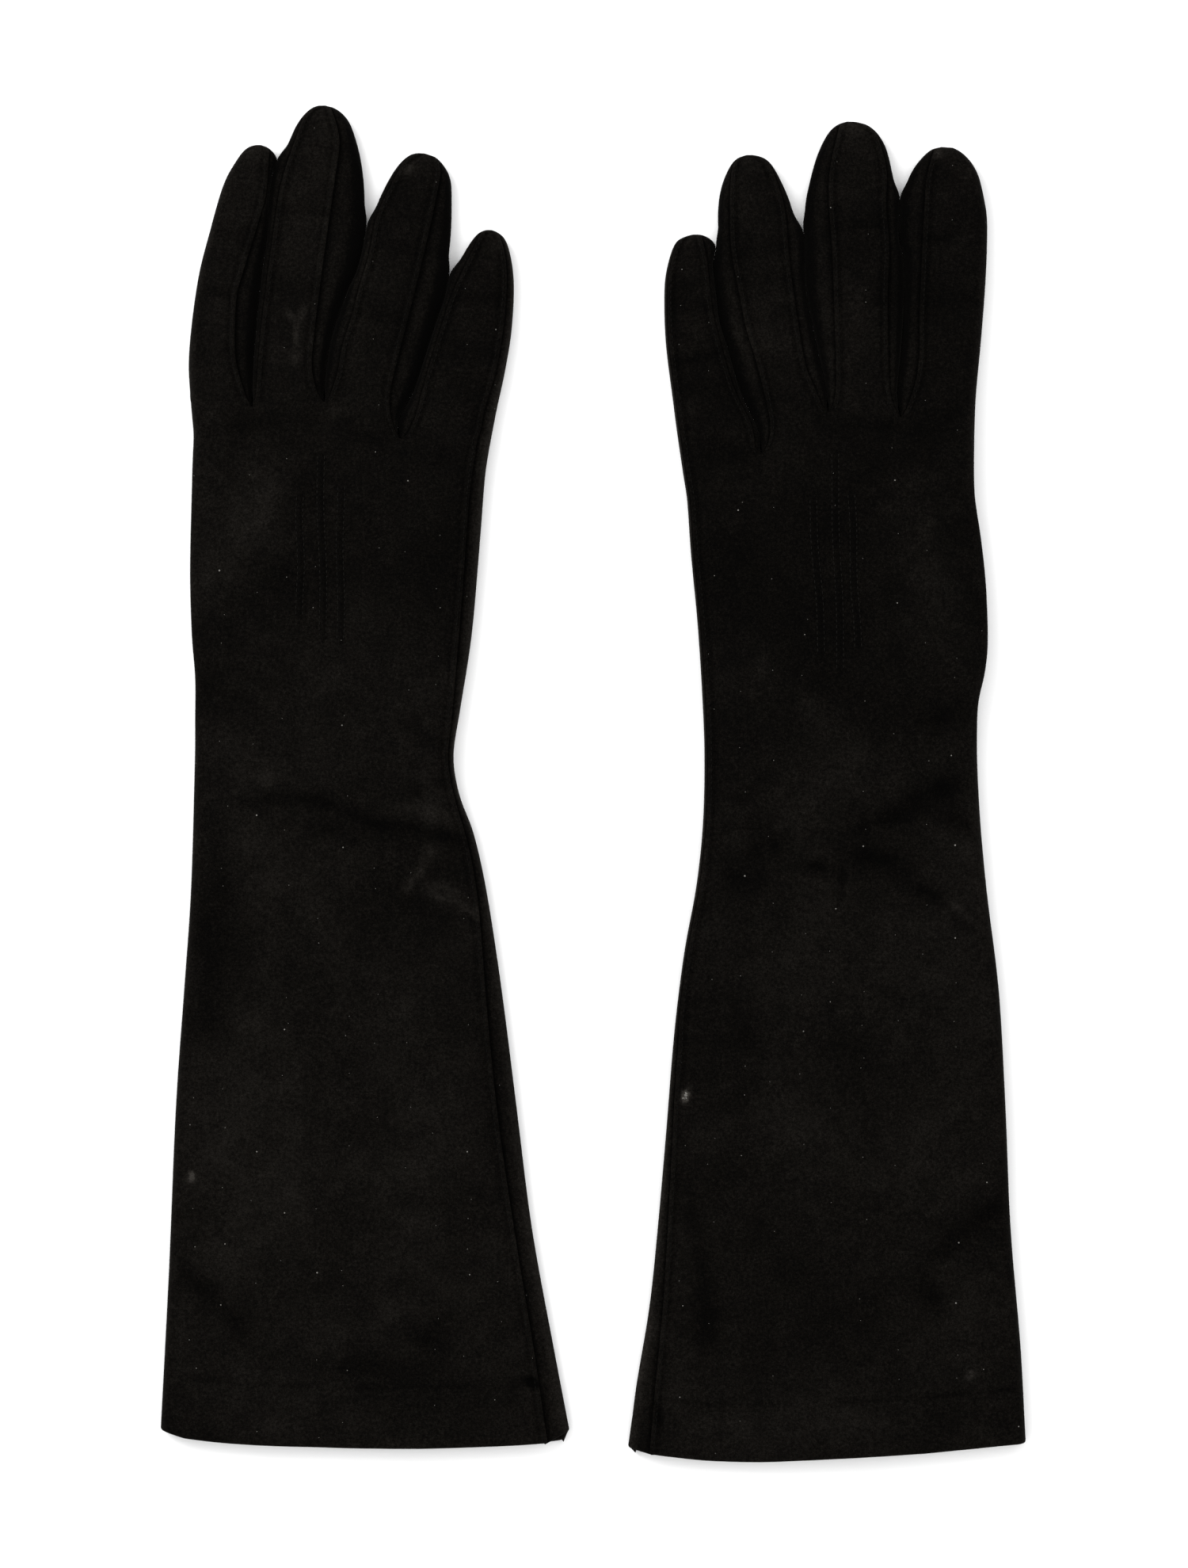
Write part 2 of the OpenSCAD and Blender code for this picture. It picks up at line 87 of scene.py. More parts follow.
HEM_DEPTH = {"right": 19 * MM, "left": 17 * MM}      # how far the hem is turned in
HEM_ROLL = 0.9 * MM         # radius of the turned edge
HEM_LIFT = 0.35 * MM        # how much higher the back lies over the turned-in hem
HEM_SOFT = 0.7 * MM         # how softly the hem shows through
TIP_ROUND = 7.5 * MM        # length of the rounded end of a finger
STRIP_SHADE = {"right": 1.7, "left": 1.25}      # how much painted shade darkens the side strips of the fingers, down into the clefts
OUTER_SHADE = -0.8          # the same for the side of the long outer seam; negative, so it paints light on that side, which tilts away from the lamps
CREASE_SHADE = 0.62         # how much painted shade darkens the nap for each millimetre of crease, and painted highlight pales it on a ridge
RIDGE_SHADE = 0.25          # how much darker the pinched rows on the back of the hand look
FLUFF_FROM = 1.5            # how strong a scuff, times the noise of the nap, holds loose fluff
SEAM_ALLOWANCE = 3 * MM     # what the seams take up of the width and length of each cut
STITCH_INSET = 1.25 * MM    # how far from the edge of a panel its stitches run

BEND_REACH = 13 * MM        # how far from its joint the span of a bend reaches; no piece is bent along it
SPLIT_Y = -60 * MM          # where the hand's skin meets the sleeve's, midway between two folds

# Mesh steps.
FINGER_COLUMNS = 26         # across a finger's back or palm panel
FINGER_ROWS = 72
HAND_ROWS = 140
SLEEVE_ROWS = 96
ARC_UPPER, ARC_LOWER = 7, 5     # round a side, above and below where it bulges furthest

FINGER_ORDER = {"right": ["index", "middle", "ring", "little"],
                "left": ["little", "ring", "middle", "index"]}


# ---------------------------------------------------------------- reading the frame

def node_points(name):
    return np.array([v.co for v in frame["nodes"][name].data.vertices], float)


def all_edges(names):
    """Every mesh edge of these nodes, seen from above, as an array of 2-D segments."""
    found = []
    for name in names:
        points = node_points(name)[:, :2]
        keys = np.array([e.vertices[:] for e in frame["nodes"][name].data.edges])
        found.append(points[keys])
    return np.concatenate(found)


def face_outline(names, up):
    """The outline of the nodes' topmost (or lowest) flat faces, as 2-D segments."""
    segments = []
    for name in names:
        mesh = frame["nodes"][name].data
        heights = [v.co.z for v in mesh.vertices]
        level = max(heights) if up else min(heights)
        seen = {}
        for poly in mesh.polygons:
            if abs(poly.normal.z) < 0.99 or abs(poly.center.z - level) > 0.01 * MM:
                continue
            corners = [tuple(round(c, 6) for c in mesh.vertices[i].co.xy) for i in poly.vertices]
            for a, b in zip(corners, corners[1:] + corners[:1]):
                key = (min(a, b), max(a, b))
                seen[key] = seen.get(key, 0) + 1
        segments += [key for key, times in seen.items() if times == 1]
    return np.array(segments, float)


def crossings(segments, origin, along):
    """The sorted distances along a line at which it crosses the segments."""
    normal = np.array([-along[1], along[0]])
    a = (segments[:, 0] - origin) @ normal
    b = (segments[:, 1] - origin) @ normal
    hit = (a > 0) != (b > 0)
    share = a[hit] / (a[hit] - b[hit])
    points = segments[hit, 0] + share[:, None] * (segments[hit, 1] - segments[hit, 0])
    return np.sort((points - origin) @ along)


def span_at(segments, origin, along):
    """The stretch of the outline that holds the line's origin, or NaNs."""
    found = crossings(segments, origin, along)
    for low, high in zip(found[0::2], found[1::2]):
        if low <= 0 <= high:
            return low, high
    return math.nan, math.nan


def panel_nodes(side, *parts):
    """The names of the four panels of each part."""
    return [f"{side}_{part}_{panel}" for part in parts
            for panel in ("back", "palm", "fold", "seam")]


def unit(vector):
    return vector / np.linalg.norm(vector)


def smoothstep(x, low=0.0, high=1.0):
    t = np.clip((np.asarray(x, float) - low) / (high - low), 0, 1)
    return t * t * (3 - 2 * t)


def filled(x, values):
    """The values, with those that are NaN filled in from their neighbours."""
    good = ~np.isnan(values)
    return np.interp(x, x[good], values[good])


def eased(values, width):
    """Values with their steps smoothed over a few neighbours."""
    pad = np.pad(values, width, mode="reflect", reflect_type="odd")
    return np.convolve(pad, np.ones(2 * width + 1) / (2 * width + 1), mode="valid")


# ---------------------------------------------------------------- one glove's plan

class Plan:
    """Where a glove's edges, seams and crotches lie, seen from above."""

    def __init__(self, side):
        self.side = side
        self.outer = 1 if side == "right" else -1      # the side of the little finger
        self.seam_column = -1 if self.outer > 0 else 0      # the column at the outer seam
        self.fingers = FINGER_ORDER[side]
        body = panel_nodes(side, "cuff", "sleeve", "hand")
        roots = [f"{side}_{self.fingers[i]}_palm" for i in (0, 3)]
        backs = [f"{side}_{part}_back" for part in ("cuff", "sleeve", "hand", "little")]
        ys = np.arange(-189, 122, 1.0) * MM
        past = np.arange(-210, -189, 1.0) * MM
        self.ys = np.append(past, ys)
        self.edges = self.run_on(self.extents(all_edges(body + roots), ys), ys, past)
        self.seams = self.run_on(self.extents(all_edges(backs), ys), ys, past)
        cuff = node_points(f"{side}_cuff_palm")[:, 0]
        self.hem_x = np.linspace(cuff.min() + 0.3 * MM, cuff.max() - 0.3 * MM, 160)
        edges = all_edges([f"{side}_cuff_palm"])
        up = np.array([0.0, 1.0])
        self.hem_values = np.array([crossings(edges, np.array([x, 0.0]), up)[0]
                                    for x in self.hem_x])
        self.crotches = self.find_crotches()
        self.thumb_root = np.array(JOINTS[f"{side}_thumb_swing"]["pos_m"][:2])
        thumb = node_points(f"{side}_thumb")[:, :2]
        self.thumb_tip = thumb[np.argmax(np.hypot(*(thumb - self.thumb_root).T))]

    @staticmethod
    def extents(segments, ys):
        """The leftmost and rightmost x of the segments at each y."""
        found = []
        for y in ys:
            x = crossings(segments, np.array([0.0, y]), np.array([1.0, 0.0]))
            found.append((x[0], x[-1]) if len(x) > 1 else (math.nan, math.nan))
        return [eased(filled(ys, line), 2) for line in np.array(found).T]

    @staticmethod
    def run_on(lines, ys, past):
        """The two sides, carried straight on past the corners of the hem."""
        low, high = 2, 12           # rows just above the hem that give the slope
        slopes = [(line[high] - line[low]) / (ys[high] - ys[low]) for line in lines]
        return [np.append(line[low] + slope * (past - ys[low]), line)
                for line, slope in zip(lines, slopes)]

    def find_crotches(self):
        """The flat bottom of each cleft, in the outline of the palm."""
        outline = face_outline([f"{self.side}_hand_palm"], False)
        step = outline[:, 1] - outline[:, 0]
        level = (np.abs(step[:, 1]) < 0.01 * MM) & (np.abs(step[:, 0]) < 2.5 * MM)
        level &= (np.abs(step[:, 0]) > 1.2 * MM) & (outline[:, 0, 1] > 90 * MM)
        middles = outline[level].mean(axis=1)
        return list(middles[np.argsort(middles[:, 0])])

    def edge(self, way, y):
        """The outline on the left (-1) or right (1)."""
        return np.interp(y, self.ys, self.edges[0 if way < 0 else 1])

    def seam_x(self, y):
        """The long outer seam, kept a little inside the edge."""
        edge = self.edge(self.outer, y)
        seam = np.interp(y, self.ys, self.seams[self.seam_column])
        return edge - self.outer * np.maximum(np.abs(edge - seam), OUTER_SEAM_INSET)

    def panel(self, y):
        """The left and right limits of the back panel: the seam, and where the fold turns."""
        limits = {self.outer: self.seam_x(y),
                  -self.outer: self.edge(-self.outer, y) + self.outer * FOLD_INSET}
        return limits[-1], limits[1]

    def hem_y(self, x):
        """The lower edge of the hem."""
        return np.interp(x, self.hem_x, self.hem_values)

    def hem_line(self, x):
        """Where the turned-in hem ends, which shows as a low step with painted shade along it."""
        return self.hem_y(x) + HEM_DEPTH[self.side]

    def mouth_y(self, x):
        """Where the leather starts to turn in at the hem."""
        return self.hem_y(x) + HEM_ROLL + 0.3 * MM


# ---------------------------------------------------------------- the lie of the leather

# Height of the back along the glove, as (y, height) in millimetres.
LIE = [(-200, 6.4), (-150, 6.3), (-100, 6.7), (-60, 6.9), (-25, 7.0), (5, 7.3), (40, 8.1),
       (85, 8.3), (120, 8.1)]

# Creases: start and end on the plan, width and depth, in millimetres. A negative depth is a ridge.
CREASES = {
    "right": [
        ((-107, -7), (-84, -5), 3.5, 0.7), ((-88, -4), (-64, -13), 3.0, 1.0),
        ((-68, -12), (-37, -18), 3.0, 1.1), ((-82, -12), (-69, -19), 3.0, 0.6),
        ((-42, 2), (-56, -3), 3.0, 0.7), ((-60, -8), (-40, -11), 3.0, -0.5),
        ((-44, 12), (-58, 18), 3.2, 0.4), ((-113, -6), (-115, -72), 6.0, 0.6),
        ((-62, -34), (-42, -42), 3.6, 0.4), ((-118, 30), (-98, 20), 4.5, 0.4),
        ((-98, -60), (-92, -150), 8.0, -0.3), ((-30, -40), (-25, -110), 4.0, 0.35),
        ((-125, -143), (-101, -168), 5.5, 1.0), ((-42, -157), (-52, -168), 5.0, 0.8),
        ((-21, -178), (-16, -178), 1.3, 1.0),
        ((-114, 104), (-84, 108), 4.0, 0.45), ((-84, 108), (-60, 99), 4.5, 0.4),
        ((-60, 97), (-38, 96), 4.5, 0.35), ((-104, 66), (-84, 60), 5.0, 0.3),
    ],
    "left": [
        ((77, -15), (92, -9.5), 3.0, 1.1), ((90, -10), (111, 1), 5.5, 1.1),
        ((103, -10), (114, -14), 4.0, 0.6), ((45, -13), (54, -13), 3.5, 0.5),
        ((75, -21), (96, -26), 4.2, 1.0), ((62, -24.5), (74, -27), 3.0, 0.9),
        ((45, -22), (58, -17), 4.5, 0.8), ((37, -27), (50, -30), 4.5, 0.7),
        ((92, -30), (106, -36), 3.0, 0.8), ((105, -36), (116, -45), 3.0, 0.8),
        ((73, -19), (73.5, -37), 1.2, 0.5), ((42, -7), (48, -2), 4.0, 0.4),
        ((96, -12), (114, -22), 4.0, -0.5), ((112, 24), (94, 18), 4.0, 0.5),
        ((97, -148), (128, -121), 5.0, 0.9), ((98, -146), (103, -160), 6.0, 0.8),
        ((27, -118), (33, -176), 5.0, 0.8), ((17, -181), (20, -194), 1.8, 0.8),
        ((44, -60), (40, -110), 7.0, 0.35), ((104, 40), (100, 92), 6.0, -0.3),
        ((62, -70), (100, -96), 8.0, 0.3),
        ((30, 104), (50, 92), 4.5, 0.5), ((66, 105), (101, 104), 4.0, 0.6),
        ((99, 105), (113, 112), 4.0, 0.35),
    ],
}

# Pale scuffs, and wide places where the nap lies darker (negative): middle, length and width
# in millimetres, turn in degrees and strength.
SCUFFS = {
    "right": [
        (-34, 118, 16, 45, 0, -0.5), (-58, 135, 13, 45, 0, -0.2), (-75, 55, 55, 45, 0, -0.22),
        (-75, -115, 60, 70, 0, 0.16), (-76, -35, 10, 22, 0, 0.2), (-115.5, -58, 3, 26, 0, -0.3),
        (-72, -174, 15, 4, 0, -0.5), (-60, -157, 5, 4, 0, 0.35), (-24, -75, 3, 50, 7, 0.3),
        (-90.5, 139.5, 2.6, 1.0, -52, 1.1), (-86.8, 140, 2.8, 1.0, 62, 1.1),
        (-88.7, 133.5, 3.0, 1.1, 90, 1.2), (-89, 126.5, 1.6, 1.3, 0, 1.2),
        (-55.8, 183, 2.4, 1.3, 40, 1.2), (-29, 160, 3.0, 2.0, 60, 0.5),
        (-104, 187, 4.0, 3.0, 0, 0.3),
        (-45.4, -32.2, 5.0, 2.6, -15, 1.3), (-45, -32.3, 2.4, 0.9, -15, -1.2),
        (-53.2, -27.5, 6.5, 1.5, 52, 0.9), (-49, -20, 3.0, 2.5, 0, 0.6),
        (-37, -37.5, 4.0, 1.5, -25, 0.8),
        (-100, 84, 9.0, 6.0, 60, 0.3), (-116, 70, 4.0, 12.0, 0, 0.25), (-50, -2, 6.0, 4.0, 80, 0.3),
        (-49.5, -11.5, 2.5, 4.0, 0, 0.5), (-98, 2, 3.5, 2.5, -20, 0.45),
        (-18.5, -178.6, 1.7, 1.0, -30, -2.5), (-120, -117, 1.2, 0.9, 70, 3.3),
    ],
    "left": [
        (66, 125, 50, 60, 0, -0.36), (75, 50, 60, 45, 0, -0.3), (78, -18, 45, 16, 0, -0.25),
        (110, -38.5, 6.0, 1.3, -42, 1.0), (102.7, 188, 2.0, 1.0, 70, 1.5),
        (113.2, 182, 3.0, 1.3, -60, 0.9),
        (78, 144, 3.5, 2.0, 30, 0.45), (110, 162.5, 3.5, 1.5, 20, 0.45),
        (50, 36, 5.0, 2.5, 75, 0.4), (64, 22, 3.0, 4.0, 0, 0.35), (116, -12, 8.0, 3.0, 75, 0.3),
        (77, 196, 5.0, 2.5, 0, 0.3), (30, 152, 5.0, 3.0, 20, 0.25), (64, -188, 22, 8.0, 0, 0.4),
        (112.3, -176.3, 2.2, 1.1, 45, 1.7), (27.2, -93, 1.9, 1.1, 65, 4.3),
        (78, -160, 40, 12, 0, -0.2), (110, -150, 12, 16, 0, 0.2),
    ],
}


def crease_depth(side, x, y):
    """How far the creases lower the back at each point."""
    total = np.zeros(np.broadcast(x, y).shape)
    for start, end, width, depth in CREASES[side]:
        run = np.subtract(end, start)
        length = np.hypot(*run)
        along = run / length
        dx, dy = x / MM - start[0], y / MM - start[1]
        s = (dx * along[0] + dy * along[1]) / length
        # a crease bows a little, as leather does when it is pushed together
        bow = 0.05 * length * np.sin(np.clip(s, 0, 1) * math.pi)
        off = (dy * along[0] - dx * along[1] - bow) / width
        fade = smoothstep(s, -0.2, 0.35) * (1 - smoothstep(s, 0.65, 1.2))
        # it is deeper in some places than in others, fades out softly and has a low ridge above
        wander = 1 + 0.3 * np.sin(s * 7 + start[0]) + 0.15 * np.sin(s * 17 + start[1])
        valley = 0.7 * np.exp(-(off / 0.55) ** 2)
        skirt = 0.3 * np.exp(-(off / 1.5) ** 2)
        ridge = 0.22 * np.exp(-(off - 1.7) ** 2)
        total = total + depth * MM * fade * wander * (valley + skirt - ridge)
    return total


def scuff_rub(side, x, y):
    """How much the scuffs pale the nap at each point."""
    total = np.zeros(np.broadcast(x, y).shape)
    for x0, y0, length, width, turn, strength in SCUFFS[side]:
        c, sn = math.cos(math.radians(turn)), math.sin(math.radians(turn))
        dx, dy = x / MM - x0, y / MM - y0
        along, off = (dx * c + dy * sn) / length, (dy * c - dx * sn) / width
        total = total + strength * np.exp(-along ** 2 - off ** 2)
    return total


def waves(side, x, y):
    """Slow unevenness of leather that has been worn and laid down."""
    rng = np.random.default_rng(7 if side == "right" else 19)
    total = np.zeros(np.broadcast(x, y).shape)
    for length, height, count in ((70, 0.28, 5), (32, 0.14, 7), (14, 0.055, 9)):
        for _ in range(count):
            turn = rng.uniform(0, 2 * math.pi)
            phase = rng.uniform(0, 2 * math.pi)
            k = 2 * math.pi / (length * MM * rng.uniform(0.75, 1.3))
            total = total + height * MM / math.sqrt(count) * np.sin(
                k * (x * math.cos(turn) + y * math.sin(turn)) + phase)
    return total


def thumb_measure(plan, x, y):
    """How far along the thumb and out towards the edge each point is, and the thumb's length."""
    along = plan.thumb_tip - plan.thumb_root
    length = np.hypot(*along)
    along = along / length
    out = np.array([-along[1], along[0]]) * plan.outer
    dx, dy = x - plan.thumb_root[0], y - plan.thumb_root[1]
    return dx * along[0] + dy * along[1], dx * out[0] + dy * out[1], length


def palm_height(plan, x, y):
    """The underside of the hand: on the surface, but raised over the thumb."""
    _, out, length = thumb_measure(plan, x, y)
    radius = np.hypot(x - plan.thumb_root[0], y - plan.thumb_root[1])
    near = -THUMB_HALF - 0.3 * MM       # raised in full from here to the edge
    inside = (smoothstep(out, near - 4.5 * MM, near)
              * (1 - smoothstep(radius, length + 1.0 * MM, length + 15 * MM))
              * smoothstep(y - plan.thumb_root[1], near - 12 * MM, near))
    return UNDERSIDE + THUMB_ROOM * inside


def thumb_bulge(plan, x, y):
    """The thumb under the palm, showing softly through the back of the hand."""
    s, out, length = thumb_measure(plan, x, y)
    t = np.clip(s / length, 0, 1)
    off = np.hypot(s - t * length, out)
    return THUMB_SHOWS * (1 - smoothstep(off, 2 * MM, 13 * MM))


def back_height(plan, x, y):
    """The top of the hand and sleeve at each point of the plan."""
    left, right = plan.edge(-1, y), plan.edge(1, y)
    u = (x - (left + right) / 2) / ((right - left) / 2)
    lie = np.array(LIE) * MM
    z = np.interp(y, lie[:, 0], lie[:, 1]) * (1 - 0.1 * np.abs(np.clip(u, -1, 1)) ** 2.4)
    for crotch in plan.crotches:
        dx, dy = (x - crotch[0]) / (4.5 * MM), (y - crotch[1]) / (9 * MM)
        z = z - CROTCH_DIP * np.exp(-dx * dx - dy * dy)
    z = z + thumb_bulge(plan, x, y) - crease_depth(plan.side, x, y) + waves(plan.side, x, y)
    hem = plan.hem_line(x)
    z = z + HEM_LIFT * (1 - smoothstep(y, hem - HEM_SOFT, hem + HEM_SOFT))
    return np.minimum(z, HAND_TOP + 0.6 * MM)


# ---------------------------------------------------------------- skins

def arc(start, edge, end, tuck=None):
    """Columns round a side: from the top limit out to the edge and in to the palm's limit."""
    columns = []
    if tuck is not None:
        columns.append(tuck)
    for q in np.linspace(0, 1, ARC_UPPER):
        p = start + (edge - start) * math.sin(q * math.pi / 2)
        p[:, 2] = edge[:, 2] + (start[:, 2] - edge[:, 2]) * math.cos(q * math.pi / 2)
        columns.append(p)
    for q in np.linspace(0, 1, ARC_LOWER)[1:]:
        p = edge + (end - edge) * (1 - math.cos(q * math.pi / 2))
        p[:, 2] = edge[:, 2] + (end[:, 2] - edge[:, 2]) * math.sin(q * math.pi / 2)
        columns.append(p)
    return np.stack(columns, axis=1)


def rib(distance):
    """The rounded rib of a lapped seam, with the groove of its stitches behind it."""
    ridge = np.exp(-((distance - RIB_AT) / RIB_WIDTH) ** 2)
    return ridge - 0.6 * np.exp(-((distance - GROOVE_AT) / RIB_WIDTH) ** 2)


def seam_light_and_shade(roll):
    """A little painted highlight on a seam's rib, and painted shade in its groove."""
    return np.where(roll > 0, 0.06 * roll, 0.5 * roll)


def strip_light_and_shade(strip, way, shade):
    """Painted shade on a side strip, darkest under the panel that laps it and then down its side; a
    negative shade paints light down the side instead.
    """
    across = np.linspace(0, 1, strip.shape[1])[::way]
    tone = -1.3 * np.exp(-(across / 0.11) ** 2) - shade * smoothstep(across, 0.22, 0.44)
    return np.tile(tone, (len(strip), 1))


def tucked(start, edge):
    """The hidden margin of a strip, under the panel that laps it."""
    inward = start - edge
    inward[:, 2] = 0
    size = np.linalg.norm(inward, axis=1)[:, None]
    inward = inward / np.maximum(size, 0.05 * MM) * np.minimum(size, TUCK)
    under = start + inward
    under[:, 2] -= 0.35 * MM
    return under


def side_columns(start, edge, end, way, lap=None):
    """The columns round a side, in the ring's order, from the back's limit to the palm's.

    edge is the outline seen from above. lap is how far the side starts below the panel that laps
    it, and a side without one is a fold.
    """
    start = start.copy()
    edge_z = end[:, 2] + SIDE_SHARE * (start[:, 2] - end[:, 2])
    edge = np.column_stack([edge, edge_z])
    if lap is None:
        columns = arc(start, edge, end)
    else:
        start[:, 2] -= lap
        columns = arc(start, edge, end, tucked(start, edge))
    return columns[:, ::way]


def grid_normals(grid, before=None, after=None):
    """Outward normals of a grid whose rows run down the glove and whose columns run round it.

    before and after are the nearest rows of the skins that it is sewn to.
    """
    whole = grid
    if before is not None:
        whole = np.concatenate([before[None], whole])
    if after is not None:
        whole = np.concatenate([whole, after[None]])
    normal = np.cross(np.gradient(whole, axis=0), np.gradient(whole, axis=1))
    first = 0 if before is None else 1
    normal = normal[first:first + len(grid)]
    size = np.linalg.norm(normal, axis=2, keepdims=True)
    return normal / np.maximum(size, 1e-12)


def new_piece(name, points, faces, material):
    """A smooth-shaded mesh object with one material."""
    mesh = bpy.data.meshes.new(name)
    mesh.from_pydata(points, [], faces)
    mesh.polygons.foreach_set("use_smooth", np.ones(len(mesh.polygons), bool))
    mesh.materials.append(material)
    piece = bpy.data.objects.new(name, mesh)
    bpy.context.scene.collection.objects.link(piece)
    return piece


def skin(name, grid, material, normals=None, thick=SUEDE, wear_and_painted_light=None):
    """A closed piece of leather from a grid of points on its outer face.

    thick is one thickness, or one for each row. The last argument gives how far the nap is rubbed
    pale (above 0) or left dark (below 0) at each point, with painted light and shade added in.
    """
    rows, columns = grid.shape[:2]
    normals = grid_normals(grid) if normals is None else normals
    count = rows * columns
    inner = grid - normals * np.reshape(np.broadcast_to(thick, rows), (rows, 1, 1))
    points = np.concatenate([grid.reshape(-1, 3), inner.reshape(-1, 3)])
    index = np.arange(count).reshape(rows, columns)
    a, b = index[:-1, :-1].ravel(), index[1:, :-1].ravel()
    c, d = index[1:, 1:].ravel(), index[:-1, 1:].ravel()
    faces = [np.stack([a, b, c, d], axis=1), np.stack([d, c, b, a], axis=1) + count]
    rim = np.concatenate([index[0, ::-1], index[1:, 0], index[-1, 1:], index[-2:0:-1, -1]])
    after = np.roll(rim, -1)
    faces.append(np.stack([after, rim, rim + count, after + count], axis=1))
    faces = np.concatenate(faces).tolist()
    piece = new_piece(name, points.tolist(), faces, MATERIALS[material])
    flat = np.concatenate([normals.reshape(-1, 3), -normals.reshape(-1, 3)])
    piece.data.normals_split_custom_set_from_vertices(flat.tolist())
    if wear_and_painted_light is not None:
        values = np.concatenate([wear_and_painted_light.ravel(), np.zeros(count)])
        piece.data.attributes.new("wear_and_painted_light", "FLOAT", "POINT").data.foreach_set("value", values)
    return piece


def cut_size(grid):
    """The width and length of the flat cut: its widest row and longest column."""
    width = np.linalg.norm(np.diff(grid, axis=1), axis=2).sum(axis=1).max()
    length = np.linalg.norm(np.diff(grid, axis=0), axis=2).sum(axis=0).max()
    return float(width), float(length)


def distances(path):
    """How far along a path each of its points lies."""
    return np.concatenate([[0], np.cumsum(np.linalg.norm(np.diff(path, axis=0), axis=1))])


def at_distance(s, run, values):
    """The values along a path at the distance s, where run is the distance of each of its points."""
    return np.array([np.interp(s, run, values[:, k]) for k in range(3)])


def column_shares():
    """Shares across a panel, closer together towards its seams."""
    t = np.linspace(0, 1, FINGER_COLUMNS)
    return 0.35 * t + 0.65 * (0.5 - 0.5 * np.cos(math.pi * t))


def across_panel(sides):
    """Points across a panel, from its left side line to its right."""
    share = SHARES[None, :, None]
    return sides[-1][:, None] * (1 - share) + sides[1][:, None] * share


SHARES = column_shares()


# ---------------------------------------------------------------- a finger

